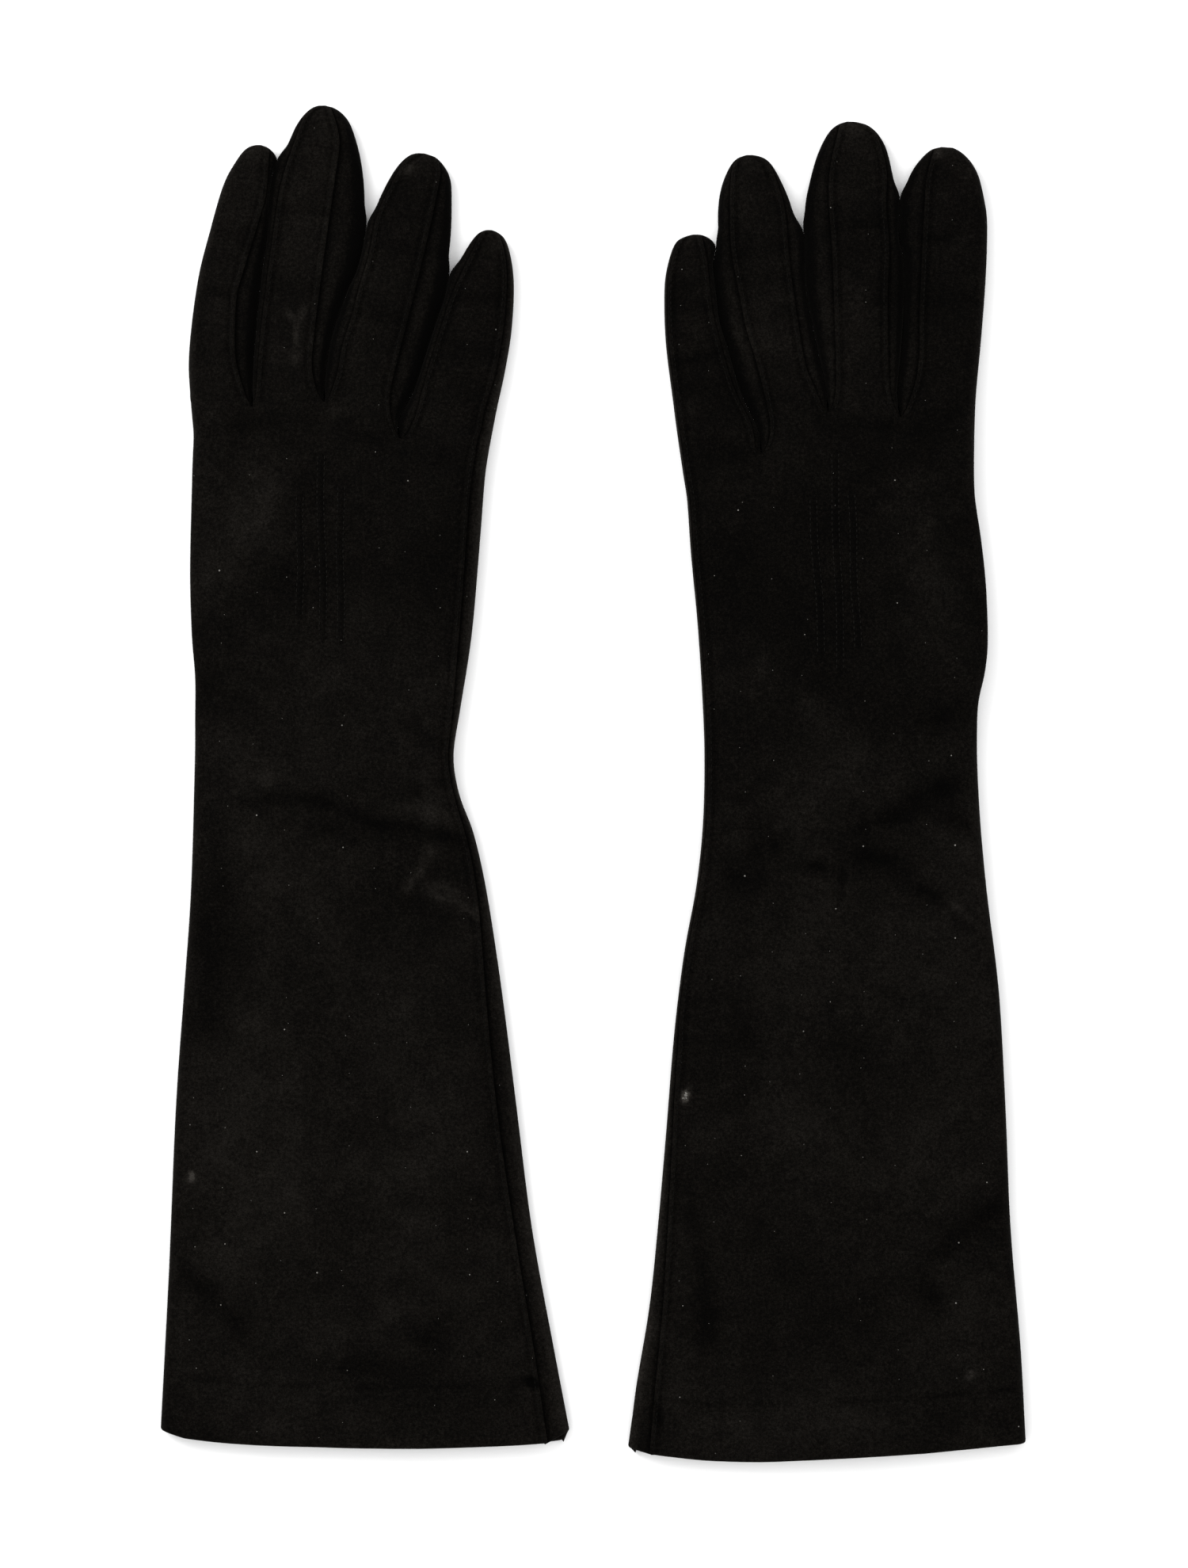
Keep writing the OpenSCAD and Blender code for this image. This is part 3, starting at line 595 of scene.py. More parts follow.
class Finger:
    """One finger's outline and seams, read along its own middle line."""

    def __init__(self, plan, place):
        self.plan, self.place = plan, place
        self.name = plan.fingers[place]
        self.key = f"{plan.side}_{self.name}"
        joint = JOINTS[f"{self.key}_bend"]
        self.base = np.array(joint["pos_m"][:2])
        self.up = np.array([-joint["axis"][1], joint["axis"][0]])
        points = node_points(f"{self.key}_palm")[:, :2] - self.base
        tip = points[np.argmax(points @ self.up)]
        self.length = np.hypot(*tip)
        self.along = tip / self.length
        self.across = np.array([self.along[1], -self.along[0]])
        self.free = {-1: place == 0, 1: place == 3}
        self.find_sides()

    def find_sides(self):
        """The outline and the seam on each side, as offsets from the middle line at distances s."""
        near_tip = self.length - np.linspace(3, 0.3, 14) ** 2 * MM
        self.s = np.append(np.arange(-13 * MM, near_tip[0] - 0.2 * MM, 0.4 * MM), near_tip)
        smooth_to = np.sum(self.s < near_tip[0])
        outer, inner = self.spans("palm", False), self.spans("back", True)
        self.outline, self.seam, self.root = {}, {}, {}
        for k, way in ((0, -1), (1, 1)):
            if self.free[way]:
                self.root[way] = FREE_ROOT
                below = self.s < FREE_ROOT
            else:
                # below the crotch there is no outline, and the lines run straight to it
                crotch = self.crotch(way) - self.base
                at = np.argmin(np.abs(self.s - crotch @ self.along))
                self.root[way] = self.s[at]
                below = self.s < crotch @ self.along + 0.6 * MM
            for lines, spans, width in ((self.outline, outer, 2), (self.seam, inner, 3)):
                line = spans[:, k].copy()
                line[below] = math.nan
                if not self.free[way]:
                    line[at] = crotch @ self.across
                line = filled(self.s, line)
                line[:smooth_to] = eased(line[:smooth_to], width)
                lines[way] = np.append(line, way * 0.15 * MM)
        self.s = np.append(self.s, self.length)

    def spans(self, panel, up_side):
        """How far left and right a panel reaches at each distance along the finger."""
        finger = face_outline([f"{self.key}_{panel}"], up_side)
        hand = face_outline([f"{self.plan.side}_hand_{panel}"], up_side)
        outline = np.concatenate([hand, finger])
        points = self.base + self.s[:, None] * self.along
        spans = np.array([span_at(outline, p, self.across) for p in points])
        # the step between the hand's solid and the finger's is left out
        cut = ((finger.reshape(-1, 2) - self.base) @ self.up).min()
        for k in (0, 1):
            rise = (points + spans[:, k, None] * self.across - self.base) @ self.up
            spans[(rise > cut - 1.7 * MM) & (rise < cut + 0.3 * MM), k] = math.nan
        return spans

    def crotch(self, way):
        """The crotch on the side that isn't free."""
        return self.plan.crotches[self.place - 1 if way < 0 else self.place]

    def is_fold(self, way):
        """True on the free side of the index finger, where the back and palm are one piece."""
        return self.free[way] and self.name == "index"

    def close_gap(self, other, way):
        """Moves the edge out to meet the neighbour where their outlines run side by side."""
        mine = self.outline[way]
        points = self.base + self.s[:, None] * self.along + mine[:, None] * self.across
        theirs = (other.base + other.s[:, None] * other.along
                  + other.outline[-way][:, None] * other.across)
        theirs = theirs[other.s >= other.root[-way]]
        gap = np.array([np.hypot(*(theirs - p).T).min() for p in points])
        push = 0.5 * gap * (1 - smoothstep(gap, 2.0 * MM, 3.4 * MM))
        return eased(np.where(self.s > self.root[way] + 2 * MM, push, 0), 5)

    def rows(self):
        """Distances along the left and right sides for each row, from the tip to the crotches."""
        v = np.linspace(1, 0, FINGER_ROWS)
        s = self.length * (0.25 * v + 0.75 * (1 - (1 - v) ** 2))
        return {way: s + self.root[way] * (1 - v) ** 5 for way in (-1, 1)}

    def side_lines(self, rows, width):
        """Each side's edge, and its limits on the back and the palm, seen from above."""
        flat, limit, low = {}, {}, {}
        for way, s in rows.items():
            past = s - self.root[way]
            edge = np.interp(s, self.s, self.outline[way])
            inset = np.abs(edge - np.interp(s, self.s, self.seam[way]))
            palm = np.minimum(PALM_INSET, 0.2 * width)
            base = self.base + s[:, None] * self.along
            if self.is_fold(way):
                inset = np.minimum(FOLD_INSET, 0.2 * width)
            else:
                least = (OUTER_SEAM_INSET if self.free[way]
                         else 0.7 * MM * smoothstep(past, 0, 6 * MM))
                inset = np.maximum(inset, np.minimum(least, 0.12 * width))
            if not self.free[way]:
                palm = palm * smoothstep(past, 0, 8 * MM)
                miss = self.crotch(way) - (base[-1] + edge[-1] * self.across)
                base = base + miss * (1 - smoothstep(past, 0, 7 * MM))[:, None]
            for lines, inward in ((flat, 0), (limit, inset), (low, palm)):
                lines[way] = base + (edge - way * inward)[:, None] * self.across
        return flat, limit, low

    def build(self):
        """The columns of the finger's ring: its back, palm and two sides, tip row first."""
        side, rows = self.plan.side, self.rows()
        mean_s = (rows[-1] + rows[1]) / 2
        width = np.interp(mean_s, self.s, self.outline[1] - self.outline[-1])
        self.flat, limit, low = self.side_lines(rows, width)
        back, palm = across_panel(limit), across_panel(low)
        x, y = back[:, :, 0], back[:, :, 1]
        # each point's distance along the finger and past the crotches, and its place across
        s = rows[-1][:, None] * (1 - SHARES) + rows[1][:, None] * SHARES
        past = s - (self.root[-1] * (1 - SHARES) + self.root[1] * SHARES)
        centre = (self.flat[-1] + self.flat[1]) / 2
        half = np.linalg.norm(self.flat[1] - self.flat[-1], axis=1) / 2
        u = ((back - centre[:, None]) @ self.across) / half[:, None]

        # crowned, rounded at the tip, and running into the hand
        full = (FINGER_TOP - TIP_DROP * s / self.length) * (1 - 0.2 * np.abs(u) ** 2.3)
        full = full + 1.1 * waves(side, x * 1.7 + 0.3, y * 1.3) - self.pinches(s, u)
        mix = smoothstep(past, 0, ROOT_REACH)
        top = back_height(self.plan, x, y) * (1 - mix) + full * mix
        end = np.clip((s - (self.length - TIP_ROUND)) / TIP_ROUND, 0, 1)
        dome = np.sqrt(1 - end ** 2)
        middle = SIDE_SHARE * FINGER_TOP
        top = middle + (top - middle) * dome
        # paler towards the tip, rubbed nap with painted shade in the small creases, and the scuffs
        wear_and_painted_light = 0.3 * end ** 2 + self.wear_and_shade(s, u) + scuff_rub(side, x, y)
        # painted shade in the creases of the hand, fading out up the finger
        wear_and_painted_light = wear_and_painted_light - CREASE_SHADE * crease_depth(side, x, y) / MM * (1 - mix)
        span = np.linalg.norm(limit[1] - limit[-1], axis=1)[:, None]
        for way, share in ((-1, SHARES), (1, 1 - SHARES)):
            if not self.is_fold(way):
                roll = rib(span * share) * smoothstep(past, 0, 4 * MM) * smoothstep(dome, 0.1, 0.6)
                top = top + RIB * roll
                # painted highlight on the seam's rib and painted shade in its groove
                wear_and_painted_light = wear_and_painted_light + seam_light_and_shade(roll)
        under = UNDERSIDE + (middle - 0.5 * MM) * (1 - dome) ** 2

        back, palm = np.dstack([back, top]), np.dstack([palm, under])
        to_tip = self.length - mean_s
        lap = PANEL_LAP * smoothstep(to_tip, 0, 4 * MM)
        self.arcs = {way: side_columns(back[:, k], self.flat[way], palm[:, k], way,
                                       None if self.is_fold(way) else lap)
                     for way, k in ((-1, 0), (1, -1))}
        self.back, self.palm, self.wear_and_painted_light = back, palm[:, ::-1], wear_and_painted_light
        self.thick = SUEDE * np.clip(to_tip / (3 * MM), 0.04, 1)
        return self

    def wear_and_shade(self, s, u):
        """Where the nap is rubbed along the finger's back, darker towards its sides, with painted
        shade in its small creases.
        """
        rng = np.random.default_rng(61 + self.place + (9 if self.plan.side == "left" else 0))
        total = -0.12 * np.abs(u) ** 2
        for _ in range(6):
            at = self.length * rng.uniform(0.05, 0.95)
            size = rng.uniform(3, 8) * MM
            total = total + rng.uniform(-0.25, 0.2) * np.exp(
                -((s - at) / size) ** 2 - ((u - rng.uniform(-1, 1)) / 0.7) ** 2)
        return total - 0.4 * self.pinches(s, u) / (0.5 * MM)

    def pinches(self, s, u):
        """Small creases across the finger where it bends when worn."""
        rng = np.random.default_rng(31 + self.place + (9 if self.plan.side == "left" else 0))
        total = np.zeros(s.shape)
        for share in (0.33, 0.36, 0.6, 0.63):
            at = self.length * (share + rng.uniform(-0.02, 0.02))
            slant = rng.uniform(-3, 3) * MM
            depth = rng.uniform(0.12, 0.3) * MM
            total = total + depth * np.exp(-((s - at - slant * u) / (1.5 * MM)) ** 2)
        return total


# ---------------------------------------------------------------- the trank

def join(*columns):
    return np.concatenate(columns, axis=1)


def chain(*sections):
    """Sections of a ring as one, where each one's first column is the last of the one before."""
    return join(sections[0], *(section[:, 1:] for section in sections[1:]))


class Trank:
    """The ring of columns of a glove's hand and sleeve, from the crotches down to the hem."""

    def __init__(self, plan, fingers):
        self.plan, self.fingers = plan, fingers
        self.top_start, self.low_start = self.panel_rows(0)
        self.top_share = self.shares(self.top_start, False)
        self.low_share = self.shares(self.low_start, True)
        self.side_y = {-1: fingers[0].flat[-1][-1, 1], 1: fingers[3].flat[1][-1, 1]}

    def panel_rows(self, k):
        """Row k from the crotches of the fingers' backs and palms, left to right."""
        backs = [f.back[None, -1 - k] for f in self.fingers]
        palms = [f.palm[None, -1 - k, ::-1] for f in self.fingers]
        return chain(*backs)[0], chain(*palms)[0]

    def below(self, y):
        """The trank that carries on from a straight row at y."""
        lower = copy.copy(self)
        lower.top_start, lower.low_start = self.straight_rows(y)
        lower.side_y = {-1: y, 1: y}
        return lower

    def limits(self, y, under):
        """The left and right limits of the back's panel or, under, of the palm's."""
        if under:
            return self.plan.edge(-1, y) + PALM_INSET, self.plan.edge(1, y) - PALM_INSET
        return self.plan.panel(y)

    def shares(self, row, under):
        """How far across its panel each point of a row lies."""
        low, high = self.limits(row[:, 1], under)
        share = (row[:, 0] - low) / (high - low)
        share[0], share[-1] = 0, 1
        return share

    def straight_rows(self, y):
        """The points of the back and of the palm, left to right, on a straight row at y."""
        rows = []
        for share, under in ((self.top_share, False), (self.low_share, True)):
            low, high = self.limits(y, under)
            rows.append(np.column_stack([low + share * (high - low), np.full(len(share), y)]))
        return rows

    def sheet_points(self, start, share, t, end_y, under):
        """Points of the back or palm at t, 0 at the first row and 1 at the last."""
        y = start[:, 1][None] * (1 - t)[:, None] + end_y * t[:, None]
        low, high = self.limits(y, under)
        x = low + share[None] * (high - low)
        height = palm_height if under else back_height
        return np.dstack([x, y, height(self.plan, x, y)])

    def ring(self, t, end_y=None):
        """The whole ring at each t, from its first row at 0 to end_y, or to the hem, at 1."""
        plan = self.plan
        if end_y is None:
            corner = -190 * MM
            top_end, low_end = [plan.mouth_y(row[:, 0]) for row in self.straight_rows(corner)]
            edge_end = {way: plan.mouth_y(plan.edge(way, corner) - way * 0.4 * MM)
                        for way in (-1, 1)}
        else:
            top_end, low_end = [row[:, 1] for row in self.straight_rows(end_y)]
            edge_end = {-1: end_y, 1: end_y}
        top = self.sheet_points(self.top_start, self.top_share, t, top_end, False)
        low = self.sheet_points(self.low_start, self.low_share, t, low_end, True)
        arcs = {}
        for way, k in ((-1, 0), (1, -1)):
            top[:, k, 1] = low[:, k, 1] = self.side_y[way] * (1 - t) + top_end[k] * t
            edge_y = self.side_y[way] * (1 - t) + edge_end[way] * t
            edge = np.column_stack([plan.edge(way, edge_y), edge_y])
            arcs[way] = side_columns(top[:, k], edge, low[:, k], way,
                                     PANEL_LAP if way == plan.outer else None)
        roll = rib(np.abs(top[:, :, 0] - top[:, plan.seam_column, 0][:, None]))
        self.wear_and_painted_light = self.find_wear_and_painted_light(top, low, arcs, roll)
        top[:, :, 2] += RIB * roll
        return self.assemble(top, low[:, ::-1], arcs)

    def find_wear_and_painted_light(self, top, low, arcs, roll):
        """How the nap is rubbed round each ring, with painted light and shade, in the ring's own
        order of columns.
        """
        plan = self.plan
        x, y = top[:, :, 0], top[:, :, 1]
        # painted highlight on the outer seam's rib, and painted shade in its groove and in the
        # creases
        back = seam_light_and_shade(roll) - CREASE_SHADE * crease_depth(plan.side, x, y) / MM
        # painted highlight over the bulge of the thumb, and the pale scuffs
        back = back + 0.12 * thumb_bulge(plan, x, y) / MM + scuff_rub(plan.side, x, y)
        # painted shade along the line where the turned-in hem ends
        line = (y - plan.hem_line(x)) / HEM_SOFT
        back = back - 0.6 * np.exp(-line ** 2) * (0.6 + 0.4 * np.sin(x * 260))
        # painted shade under the lap of the outer seam, and painted light down that side
        sides = {plan.outer: strip_light_and_shade(arcs[plan.outer], plan.outer, OUTER_SHADE),
                 -plan.outer: np.zeros(arcs[-plan.outer].shape[:2])}
        return self.assemble(back, np.zeros(low.shape[:2]), sides)

    def assemble(self, top, low, arcs):
        """The four sections of the ring as one. It starts where the outer seam laps."""
        if self.plan.outer > 0:
            return chain(arcs[1], low, arcs[-1], top)
        return chain(top, arcs[1], low, arcs[-1])

    def sections(self, row):
        """A row of the ring, cut back into its four sections."""
        sizes = {"top": len(self.top_share), "low": len(self.low_share),
                 -1: self.fingers[0].arcs[-1].shape[1], 1: self.fingers[3].arcs[1].shape[1]}
        first, found = 0, {}
        for part in (1, "low", -1, "top") if self.plan.outer > 0 else ("top", 1, "low", -1):
            found[part] = row[first:first + sizes[part]]
            first += sizes[part] - 1
        return found

    def finger_row(self, k):
        """Row k from the crotches of all four fingers, as one ring."""
        top, low = self.panel_rows(k)
        arcs = {-1: self.fingers[0].arcs[-1][None, -1 - k],
                1: self.fingers[3].arcs[1][None, -1 - k]}
        return self.assemble(top[None], low[None, ::-1], arcs)[0]


def hand_rows_for(trank, ring, finger):
    """The hand's first row below a finger, cut to match its back, its palm and its free side."""
    parts = trank.sections(ring[1])
    first = finger.place * (FINGER_COLUMNS - 1)
    back = parts["top"][first:first + FINGER_COLUMNS]
    palm = parts["low"][::-1][first:first + FINGER_COLUMNS][::-1]
    rows = {"back": back, "palm": palm}
    for way in (-1, 1):
        if finger.free[way]:
            panels = [palm, parts[way], back] if finger.is_fold(way) else [palm, parts[way]]
            rows["side"] = chain(*[panel[None] for panel in panels[::-way]])[0]
    return rows


# ---------------------------------------------------------------- stitches

def stitch_mesh(name, runs, material):
    """Rows of small thread stitches along paths. A path is an array of points and of normals."""
    pitch, length, radius = 1.7 * MM, 1.1 * MM, 0.14 * MM
    # a stitch is four five-sided rings: where along it, how wide, and how far above the leather
    rings = ((-0.5, 0.35, -0.35), (-0.2, 1, 0.55), (0.2, 1, 0.55), (0.5, 0.35, -0.35))
    sides = 5
    angles = np.arange(sides) * 2 * math.pi / sides
    points, faces = [], []
    for path, normals in runs:
        run = distances(path)
        for s in np.arange(pitch / 2, run[-1], pitch):
            at, up = at_distance(s, run, path), at_distance(s, run, normals)
            ahead = unit(at_distance(min(s + 0.4 * MM, run[-1]), run, path) - at)
            up = unit(up - ahead * (up @ ahead))
            across = np.cross(ahead, up)
            first = len(points)
            for where, size, rise in rings:
                centre = at + ahead * where * length + up * rise * radius
                points += [centre + size * radius * (across * math.cos(a) * 1.25 + up * math.sin(a))
                           for a in angles]
            for ring in range(first, len(points) - sides, sides):
                for turn in range(sides):
                    a, b = ring + turn, ring + (turn + 1) % sides
                    faces.append((a, b, b + sides, a + sides))
            faces.append(tuple(range(first + sides - 1, first - 1, -1)))
            faces.append(tuple(range(len(points) - sides, len(points))))
    return new_piece(name, [p.tolist() for p in points], faces, material)


def beside_column(grid, normals, column, skip=0):
    """The path of the stitches on a grid, a fixed distance in from one of its side columns."""
    step = 1 if column == 0 else -1
    path, ups = [], []
    for row, row_normals in zip(grid[skip:, ::step], normals[skip:, ::step]):
        run = distances(row)
        if run[-1] < 2.2 * STITCH_INSET:
            continue
        up = at_distance(STITCH_INSET, run, row_normals)
        path.append(at_distance(STITCH_INSET, run, row) + up * 0.02 * MM)
        ups.append(up)
    return np.array(path), np.array(ups)


# ---------------------------------------------------------------- materials

def node_at(tree, kind, **inputs):
    node = tree.nodes.new(kind)
    set_inputs(node, inputs)
    return node


def set_inputs(node, inputs):
    for name, value in inputs.items():
        node.inputs[name.replace("_", " ")].default_value = value


def noise(tree, coords, scale, detail=4.0, roughness=0.55, distortion=0.0):
    node = node_at(tree, "ShaderNodeTexNoise", Scale=scale, Detail=detail, Roughness=roughness,
                   Distortion=distortion)
    tree.links.new(coords, node.inputs["Vector"])
    return node.outputs["Fac"]


def weighted(tree, *parts):
    """The sum of some values, each times its weight."""
    total = 0.0
    for value, weight in parts:
        total = math_node(tree, "ADD", math_node(tree, "MULTIPLY", value, weight), total)
    return total


def ramp(tree, fac, stops, low=0.0, high=1.0):
    """A colour from a value, whose range from low to high is first brought to 0 to 1."""
    if (low, high) != (0.0, 1.0):
        fac = math_node(tree, "DIVIDE", math_node(tree, "SUBTRACT", fac, low), high - low)
    node = tree.nodes.new("ShaderNodeValToRGB")
    elements = node.color_ramp.elements
    while len(elements) < len(stops):
        elements.new(0.5)
    for element, (place, colour) in zip(elements, stops):
        element.position = place
        element.color = (*colour, 1)
    tree.links.new(fac, node.inputs["Fac"])
    return node.outputs["Color"]


def math_node(tree, operation, a, b):
    """A sum or a test of two values, each a number or a socket."""
    node = tree.nodes.new("ShaderNodeMath")
    node.operation = operation
    for socket, value in ((node.inputs[0], a), (node.inputs[1], b)):
        if isinstance(value, (int, float)):
            socket.default_value = value
        else:
            tree.links.new(value, socket)
    return node.outputs[0]


def mixed(tree, fac, a, b):
    """Two colours mixed by fac."""
    node = tree.nodes.new("ShaderNodeMix")
    node.data_type = "RGBA"
    for socket, value in ((node.inputs[0], fac), (node.inputs[6], a), (node.inputs[7], b)):
        if isinstance(value, (int, float)):
            socket.default_value = value
        elif isinstance(value, tuple):
            socket.default_value = (*value, 1)
        else:
            tree.links.new(value, socket)
    return node.outputs[2]


def new_material(name, **inputs):
    """A material, its node tree and its shader, with some of the shader's inputs set."""
    material = bpy.data.materials.new(name)
    material.use_nodes = True
    tree = material.node_tree
    shader = tree.nodes["Principled BSDF"]
    set_inputs(shader, inputs)
    return material, tree, shader


def object_coords(tree):
    return tree.nodes.new("ShaderNodeTexCoord").outputs["Object"]


def bumped(tree, height, strength, distance, below=None):
    """A normal bumped by a height, on top of the bumps below."""
    bump = node_at(tree, "ShaderNodeBump", Strength=strength, Distance=distance)
    tree.links.new(height, bump.inputs["Height"])
    if below is not None:
        tree.links.new(below, bump.inputs["Normal"])
    return bump.outputs["Normal"]


def suede(name, tone=1.0, lint=True):
    """Black napped suede: mottled where the nap lies differently, with fine fibre and lint, and
    toned by each skin's rubbed nap with its painted light and shade.
    """
    material, tree, shader = new_material(
        name, Specular_IOR_Level=0.02, Sheen_Weight=0.02, Sheen_Roughness=0.5,
        Sheen_Tint=(0.62, 0.56, 0.5, 1))
    coords = object_coords(tree)
    # the skin's attribute brings the rubbed nap, with its painted light and shade, into the tone
    attribute = tree.nodes.new("ShaderNodeAttribute")
    attribute.attribute_name = "wear_and_painted_light"
    worn_and_painted_light = attribute.outputs["Fac"]

    patches = noise(tree, coords, 24, 2, 0.5, 0.5)
    brushed = noise(tree, coords, 150, 4, 0.6, 0.4)
    fibre = noise(tree, coords, 1100, 3, 0.7)
    tufts = noise(tree, coords, 3200, 2, 0.6)
    nap = weighted(tree, (patches, 0.52), (brushed, 0.45), (fibre, 0.95), (tufts, 0.9),
                   (worn_and_painted_light, 0.36))
    tones = [tuple(tone * c for c in rgb) for rgb in
             ((0.0003, 0.00024, 0.0002), (0.0012, 0.001, 0.0008), (0.0025, 0.0021, 0.0017),
              (0.0046, 0.004, 0.0033), (0.0095, 0.0083, 0.0072), (0.021, 0.019, 0.0165))]
    colour = ramp(tree, nap, tuple(zip((0.15, 0.36, 0.5, 0.64, 0.9, 1.0), tones)), 0.88, 2.0)
    if lint:
        fluff = math_node(tree, "MULTIPLY", worn_and_painted_light, tufts)
        fluff = math_node(tree, "GREATER_THAN", fluff, FLUFF_FROM)
        lint = math_node(tree, "MAXIMUM", lint_specks(tree, coords), fluff)
        colour = mixed(tree, lint, colour, (0.13, 0.125, 0.115))
    tree.links.new(colour, shader.inputs["Base Color"])

    rough = ramp(tree, brushed, ((0.3, (0.86, 0.86, 0.86)), (0.7, (1, 1, 1))))
    tree.links.new(rough, shader.inputs["Roughness"])
    fine = bumped(tree, fibre, 0.6, 0.0003)
    tree.links.new(bumped(tree, brushed, 0.6, 0.0007, fine), shader.inputs["Normal"])
    return material


def lint_specks(tree, coords):
    """1 on the few pale specks of lint, and 0 elsewhere."""
    cells = tree.nodes.new("ShaderNodeTexVoronoi")
    cells.voronoi_dimensions = "2D"
    cells.inputs["Scale"].default_value = 110
    tree.links.new(coords, cells.inputs["Vector"])
    chosen = tree.nodes.new("ShaderNodeSeparateColor")
    tree.links.new(cells.outputs["Color"], chosen.inputs[0])
    size = math_node(tree, "MULTIPLY", math_node(tree, "POWER", chosen.outputs[1], 7), 0.018)
    size = math_node(tree, "ADD", size, 0.0095)
    near = math_node(tree, "LESS_THAN", cells.outputs["Distance"], size)
    rare = math_node(tree, "GREATER_THAN", chosen.outputs[0], 0.71)
    return math_node(tree, "MULTIPLY", near, rare)


def thread(name, tone):
    """Fine twisted silk thread."""
    material, tree, shader = new_material(name, Roughness=0.8, Specular_IOR_Level=0.03)
    twist = noise(tree, object_coords(tree), 3500, 2, 0.5)
    dark, light = [tuple(tone * share * c for c in (1, 0.92, 0.8)) for share in (0.35, 1.1)]
    colour = ramp(tree, twist, ((0.35, dark), (0.7, light)))
    tree.links.new(colour, shader.inputs["Base Color"])
    tree.links.new(bumped(tree, twist, 0.4, 0.0001), shader.inputs["Normal"])
    return material


def paper(name):
    """A plain white studio floor."""
    material, _, _ = new_material(name, Base_Color=(0.93, 0.93, 0.93, 1), Roughness=0.9,
                                  Specular_IOR_Level=0.1)
    return material


MATERIALS = {
    "suede": suede("suede"),
    "strip": suede("strip_suede", 0.85, False),
    "hem": suede("hem_suede", 1.5, False),
    "thread": thread("seam_thread", 0.0045),
    "points_thread": thread("points_thread", 0.008),
}


# ---------------------------------------------------------------- building the gloves

def bend_points(joint, before, after, direction):
    """The start and end of a bend, either side of a joint's axis."""
    at = Vector(joint["pos_m"])
    direction = Vector((*direction, 0))
    return at + direction * before, at + direction * after


def finish_piece(piece, bodies, span=None, replaces=(), sheet=None):
    """Lets a piece ride on a body, or with a span only bakes its transform, and hides the parts that
    it stands for.

    sheet is the grid of a skin that is a sheet of leather.
    """
    if span is None:
        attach(piece, bodies)
    else:
        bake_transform(piece)
    if replaces:
        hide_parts(*replaces)
    if sheet is not None:
        lay_sheet(sheet)


def add_stitches(name, runs, bodies, span, kind="thread"):
    piece = stitch_mesh(f"{name}_stitches", runs, MATERIALS[kind])
    finish_piece(piece, bodies, span)


def lay_sheet(grid):
    """Works out the flat size that a skin's sheet of leather is cut to; nothing uses it."""
    width, length = cut_size(grid)
    width, length = width + SEAM_ALLOWANCE, length + SEAM_ALLOWANCE


def sewn(parts, last_wear_and_painted_light, free):
    """A finger's parts that are one piece of leather, and how it is rubbed, with painted light and
    shade. The second argument is for the last part, and the others are plain. free is the finger's
    free side.
    """
    grid = chain(*parts[::-free])
    plain = np.zeros((len(grid), grid.shape[1] - last_wear_and_painted_light.shape[1]))
    return grid, join(*[plain, last_wear_and_painted_light][::-free])


def build_fingers(plan):
    """The four fingers, with their edges moved out to meet where they lie side by side."""
    fingers = [Finger(plan, i) for i in range(4)]
    pushes = []
    for i, finger in enumerate(fingers):
        if i > 0:
            pushes.append((finger, -1, finger.close_gap(fingers[i - 1], -1)))
        if i < 3:
            pushes.append((finger, 1, finger.close_gap(fingers[i + 1], 1)))
    for finger, way, push in pushes:
        finger.outline[way] = finger.outline[way] + way * push
    return [finger.build() for finger in fingers]


def finger_pieces(finger, hand_rows):
    """A finger's skins and stitches. hand_rows gives the hand's first row for each part."""
    side, key = finger.plan.side, finger.key
    span = bend_points(JOINTS[f"{key}_bend"], -1.0 * MM, BEND_REACH, finger.up)
    bodies = (f"{side}_hand", key)
    back, palm, arcs = finger.back, finger.palm, finger.arcs
    free = next((way for way in (-1, 1) if finger.free[way]), None)

    def piece(name, grid, nodes, after=None, wear_and_painted_light=None, material="suede", slot="suede"):
        normals = grid_normals(grid, after=after)
        made = skin(f"{key}_{name}_skin", grid, material, normals, finger.thick, wear_and_painted_light)
        finish_piece(made, bodies, span, [f"{key}_{n}" for n in nodes], grid)
        return normals

    if finger.name == "index":
        grid, wear_and_painted_light = sewn([palm, arcs[free], back], finger.wear_and_painted_light, free)
        normals = piece("trank", grid, ["back", "palm"], hand_rows["side"], wear_and_painted_light)
        back_normals = normals[:, ::-free][:, -FINGER_COLUMNS:][:, ::-free]
    else:
        back_normals = piece("back", back, ["back"], hand_rows["back"], finger.wear_and_painted_light)
        if finger.name == "little":
            # painted shade under the lap, and painted light down the outer side
            shade = strip_light_and_shade(arcs[free], free, OUTER_SHADE)
            grid, wear_and_painted_light = sewn([palm, arcs[free]], shade, free)
            piece("palm", grid, ["palm"], hand_rows["side"], wear_and_painted_light)
        else:
            piece("palm", palm, ["palm"], hand_rows["palm"])
    for way in (-1, 1):
        if not finger.free[way]:
            neighbour = finger.plan.fingers[finger.place + way]
            name = f"fourchette_{neighbour}" if free is None else "fourchette"
            # painted shade under the lapping panel and down into the cleft
            shade = strip_light_and_shade(arcs[way], way, STRIP_SHADE[side])
            piece(name, arcs[way], [name], wear_and_painted_light=shade, material="strip", slot="side_strips")

    runs = [beside_column(back, back_normals, column, skip=6)
            for way, column in ((-1, 0), (1, -1)) if not finger.is_fold(way)]
    add_stitches(key, runs, bodies, span)


def hem_rows(ring, normals, depth):
    """Rows that turn the leather in at the mouth: half round the edge, then up inside."""
    last, normal = ring[-1], normals[-1]
    down = ring[-1] - ring[-2]
    down = down / np.linalg.norm(down, axis=1, keepdims=True)
    rolled = np.array([last + HEM_ROLL * (down * math.sin(a) - normal * (1 - math.cos(a)))
                       for a in np.linspace(0, math.pi, 7)[1:]])
    inside = rolled[-1] - down * depth * np.linspace(0, 1, 12)[1:, None, None]
    return rolled, inside


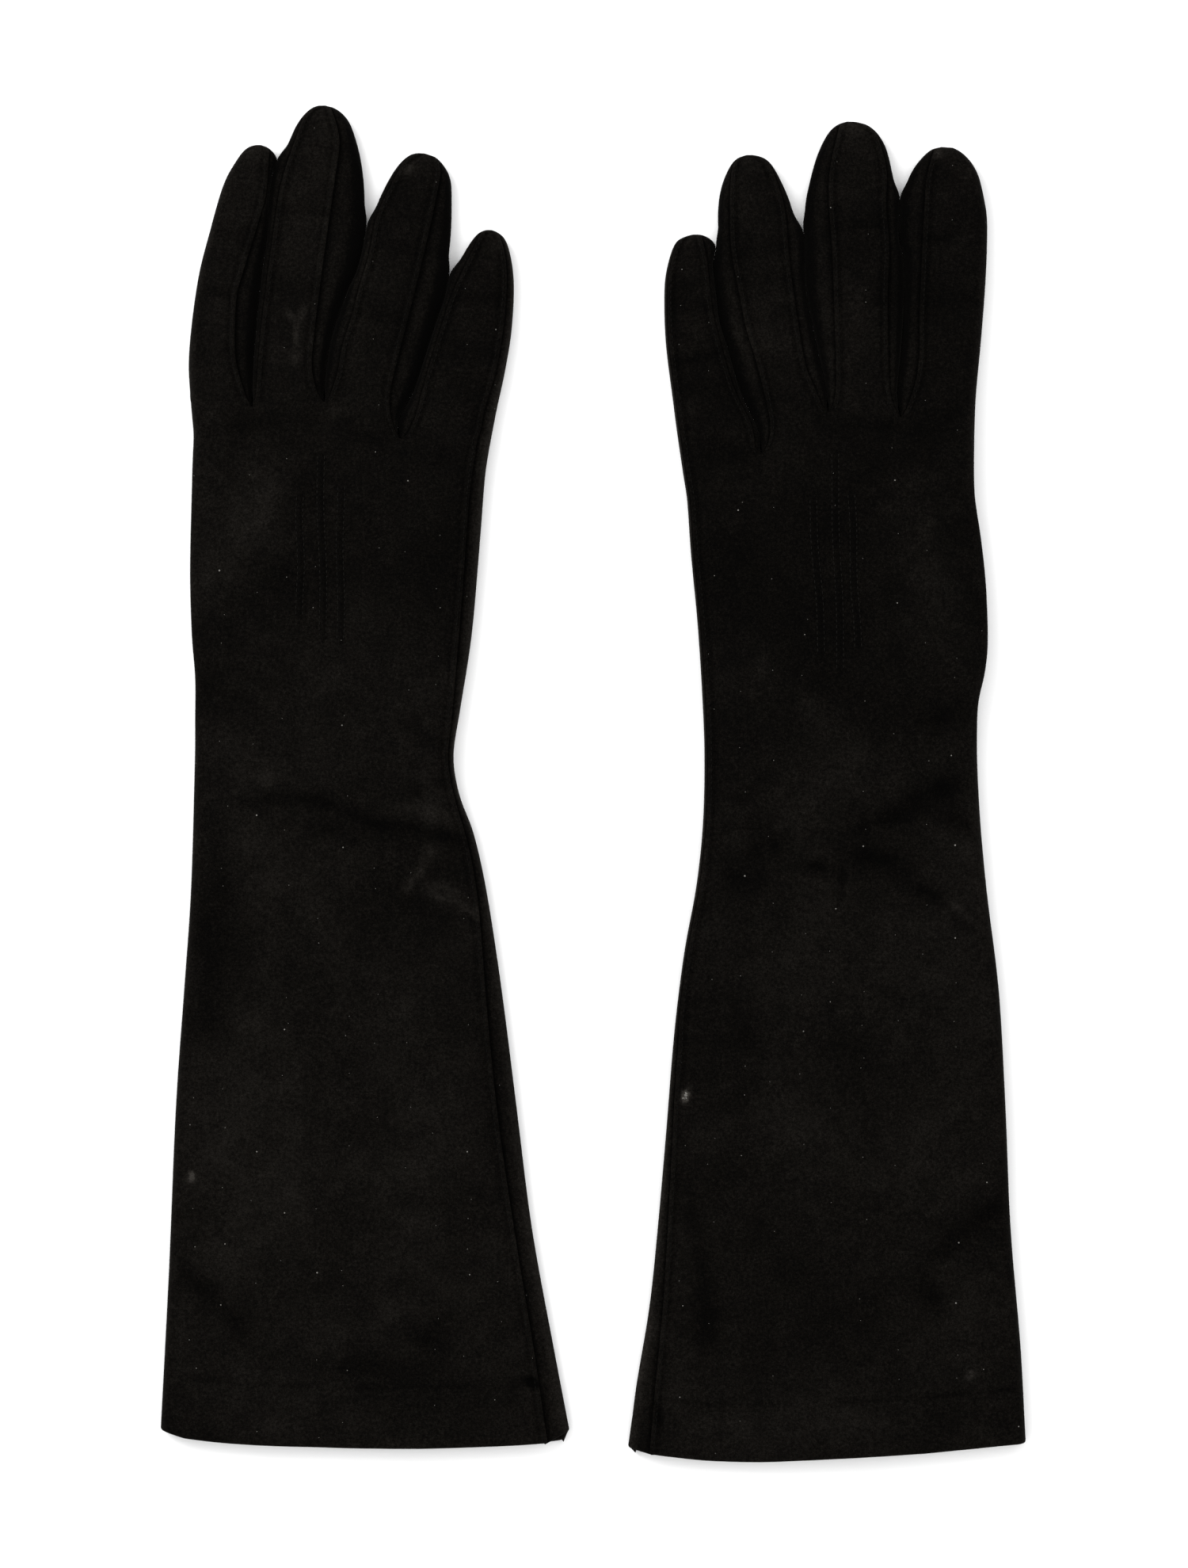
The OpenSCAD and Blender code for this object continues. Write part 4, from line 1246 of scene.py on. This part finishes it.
def points_ridges(plan):
    """The three pinched rows on the back of the hand: their skins, and their stitch lines."""
    points = node_points(f"{plan.side}_hand_points")
    points = points[np.argsort(points[:, 0])]
    groups = np.split(points, np.flatnonzero(np.diff(points[:, 0]) > 1.5 * MM) + 1)
    half_width, rise, sunk = 1.15 * MM, 0.72 * MM, 0.12 * MM
    stitch_off, stitch_rise = 1.0 * MM, 0.06 * MM
    grids, runs = [], []
    for group in groups:
        top, bottom = group[np.argmax(group[:, 1])][:2], group[np.argmin(group[:, 1])][:2]
        along = (bottom - top) / np.hypot(*(bottom - top))
        across = np.array([-along[1], along[0]])
        t = np.linspace(0, 1, 60)
        line = top + (bottom - top) * t[:, None]
        line = line + across * (0.25 * MM * np.sin(t * 9 + top[0] * 900))[:, None]
        taper = smoothstep(t, 0, 0.05) * (1 - smoothstep(t, 0.95, 1))
        columns = []
        for u in np.linspace(-1, 1, 9):
            p = line + across * (u * half_width * (0.3 + 0.7 * taper))[:, None]
            z = back_height(plan, p[:, 0], p[:, 1])
            z = z - sunk + rise * taper * math.cos(u * math.pi / 2) ** 1.3
            columns.append(np.column_stack([p, z]))
        grids.append(np.stack(columns, axis=1))
        for u in (-1, 1):
            p = line + across * (u * stitch_off)
            z = back_height(plan, p[:, 0], p[:, 1]) + stitch_rise
            up = np.tile([0.0, 0.0, 1.0], (len(p), 1))
            runs.append((np.column_stack([p, z])[2:-2], up[2:-2]))
    return grids, runs


def joined(name, pieces):
    """Several meshes as one piece."""
    with bpy.context.temp_override(active_object=pieces[0], selected_editable_objects=pieces):
        bpy.ops.object.join()
    pieces[0].name = pieces[0].data.name = name
    return pieces[0]


def build_forks(plan):
    """The folded ends of the side strips: a small curved wall behind each crotch."""
    pieces = []
    radius, foot_z = 1.9 * MM, 1.2 * MM
    for i, (x, y) in enumerate(plan.crotches):
        top = back_height(plan, x, y) - 1.1 * MM
        rows = []
        angles = np.linspace(-0.15, math.pi + 0.15, 13)
        for z in np.linspace(top, foot_z, 8):
            size = radius * (1 + 0.12 * math.sin((top - z) / (top - foot_z) * math.pi))
            rows.append([(x - size * math.cos(a), y + 1.0 * MM - size * math.sin(a), z)
                         for a in angles])
        tongue = np.array([x, y + 5 * MM, 1.0 * MM])
        foot = np.array(rows[-1])
        rows += [foot + (tongue - foot) * t for t in (0.15, 0.4, 0.7, 0.97)]
        grid = np.array(rows)
        pieces.append(skin(f"{plan.side}_fork_{i}", grid, "strip", -grid_normals(grid),
                           thick=THIN_SUEDE))
    return joined(f"{plan.side}_hand_forks_ends", pieces)


def build_thumb(plan):
    """The thumb: a flattened tube with a round tip, its root tucked into the palm."""
    key = f"{plan.side}_thumb"
    low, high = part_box(key)
    along = plan.thumb_tip - plan.thumb_root
    length = np.hypot(*along)
    along = along / length
    across = np.array([along[1], -along[0]])
    height = high.z - low.z - 0.1 * MM
    start, end = -8.4 * MM, length - 0.1 * MM
    tip_round, root_round = 9 * MM, 8.6 * MM
    # rows from the tip to the root, closer together at the tip
    t = np.concatenate([[1.0], 1 - np.linspace(0.012, 1, 44) ** 1.5])
    s = start + (end - start) * t
    tip = np.sqrt(1 - np.clip((s - (length - tip_round)) / tip_round, 0, 1) ** 2)
    root = np.sqrt(np.maximum(1 - np.clip(-s / root_round, 0, 1) ** 2, 0.03))
    half = THUMB_HALF * (1 - 0.16 * np.clip(s / length, 0, 1)) * tip * root
    thick = height * (0.06 + 0.94 * np.clip(tip * 1.2, 0, 1))
    ring = []
    for angle in np.linspace(0, -2 * math.pi, 37)[:-1]:
        c, sn = math.cos(angle), math.sin(angle)
        u = math.copysign(abs(c) ** 0.75, c) * half
        z = height / 2 + 0.05 * MM - math.copysign(abs(sn) ** 0.6, -sn) * thick / 2
        xy = plan.thumb_root + s[:, None] * along + u[:, None] * across
        ring.append(np.column_stack([xy, z]))
    grid = np.stack(ring + ring[:1], axis=1)
    grid[:, :, 2] += 0.12 * MM * np.sin(grid[:, :, 1] * 700) * smoothstep(s, 0, 8 * MM)[:, None]
    finish_piece(skin(f"{key}_skin", grid, "suede"), key, None, [key], grid)


def hand_pieces(plan, grid, normals, wear_and_painted_light):
    """The hand's skin, and the forks, the pinched rows and the stitches on it."""
    side = plan.side
    key = f"{side}_hand"
    bodies = (f"{side}_sleeve", key)
    span = bend_points(JOINTS[f"{side}_wrist_bend"], -BEND_REACH, BEND_REACH, (0, 1))
    piece = skin(f"{key}_trank", grid, "suede", normals, wear_and_painted_light=wear_and_painted_light)
    finish_piece(piece, bodies, span, panel_nodes(side, "hand"), grid)
    finish_piece(build_forks(plan), bodies, span, [f"{key}_forks"])

    grids, ridge_runs = points_ridges(plan)
    ridges = [skin(f"{side}_ridge_{i}", ridge, "suede", thick=0.3 * MM,
                   wear_and_painted_light=scuff_rub(side, ridge[:, :, 0], ridge[:, :, 1]) - RIDGE_SHADE)
              for i, ridge in enumerate(grids)]
    piece = joined(f"{key}_points_ridges", ridges)
    finish_piece(piece, bodies, span, [f"{key}_points"])
    add_stitches(f"{side}_points", ridge_runs, bodies, span, "points_thread")
    add_stitches(key, [beside_column(grid, normals, plan.seam_column)], bodies, span)


def sleeve_pieces(plan, sleeve, hand_row, wear_and_painted_light):
    """The sleeve's skin down to the hem and the facing inside it. hand_row is the row above."""
    side = plan.side
    bodies = (f"{side}_sleeve", f"{side}_cuff")
    span = bend_points(JOINTS[f"{side}_cuff_turn_back"], BEND_REACH, -BEND_REACH, (0, 1))
    normals = grid_normals(sleeve, before=hand_row)
    rolled, inside = hem_rows(sleeve, normals, HEM_DEPTH[side])
    outside = np.concatenate([sleeve, rolled[:3]])
    wear_and_painted_light = np.concatenate([wear_and_painted_light, np.tile(wear_and_painted_light[-1], (3, 1))])
    piece = skin(f"{side}_sleeve_trank", outside, "suede",
                 grid_normals(outside, before=hand_row), wear_and_painted_light=wear_and_painted_light)
    finish_piece(piece, bodies, span, panel_nodes(side, "sleeve", "cuff"), outside)

    facing = np.concatenate([rolled[2:], inside])
    piece = skin(f"{side}_hem_facing", facing, "hem", thick=THIN_SUEDE)
    finish_piece(piece, bodies, span, [f"{side}_cuff_hem"], facing)
    add_stitches(f"{side}_sleeve", [beside_column(sleeve, normals, plan.seam_column)],
                 bodies, span)


def build_glove(side):
    """Every piece of one glove. The hand's skin and the sleeve's are one ring, cut at SPLIT_Y."""
    plan = Plan(side)
    fingers = build_fingers(plan)
    trank = Trank(plan, fingers)
    hand = trank.ring(np.linspace(0, 1, HAND_ROWS), SPLIT_Y)
    hand[0] = trank.finger_row(0)
    lower = trank.below(SPLIT_Y)
    sleeve = lower.ring(np.linspace(0, 1, SLEEVE_ROWS))
    hand_normals = grid_normals(hand, before=trank.finger_row(1), after=sleeve[1])

    for finger in fingers:
        finger_pieces(finger, hand_rows_for(trank, hand, finger))
    hand_pieces(plan, hand, hand_normals, trank.wear_and_painted_light)
    sleeve_pieces(plan, sleeve, hand[-2], lower.wear_and_painted_light)
    build_thumb(plan)


# ---------------------------------------------------------------- floor, light and camera

def build_stage():
    """A white floor under a bright even sky, with two soft lamps."""
    bpy.ops.mesh.primitive_plane_add(size=6, location=(0, 0, -0.15 * MM))
    floor = bpy.context.object
    floor.name = "floor"
    floor.data.materials.append(paper("white_paper"))

    world = bpy.data.worlds.new("studio")
    bpy.context.scene.world = world
    world.use_nodes = True
    background = world.node_tree.nodes["Background"]
    background.inputs["Color"].default_value = (1, 1, 1, 1)
    background.inputs["Strength"].default_value = 1.15

    for name, place, size, power in (("key", (-0.9, 0.8, 0.9), 0.8, 16),
                                     ("fill", (0.9, 0.2, 1.3), 1.4, 5)):
        data = bpy.data.lights.new(name, "AREA")
        data.size, data.energy = size, power
        lamp = bpy.data.objects.new(name, data)
        lamp.location = place
        lamp.rotation_euler = (-Vector(place)).to_track_quat("-Z", "Y").to_euler()
        bpy.context.scene.collection.objects.link(lamp)


def build_camera():
    """Straight above the pair, as far off as a studio camera, with the fingers at the top."""
    distance = 1.6
    view_height = 0.4681        # what the picture's long side takes in at the gloves
    data = bpy.data.cameras.new("camera")
    data.sensor_width = 36
    data.lens = data.sensor_width * (distance - SIDE_SHARE * FINGER_TOP) / view_height
    camera = bpy.data.objects.new("camera", data)
    camera.location = (0, 0, distance)
    bpy.context.scene.collection.objects.link(camera)
    bpy.context.scene.camera = camera


for glove in ("right", "left"):
    build_glove(glove)
build_stage()
build_camera()
bpy.context.scene.view_settings.view_transform = "Standard"
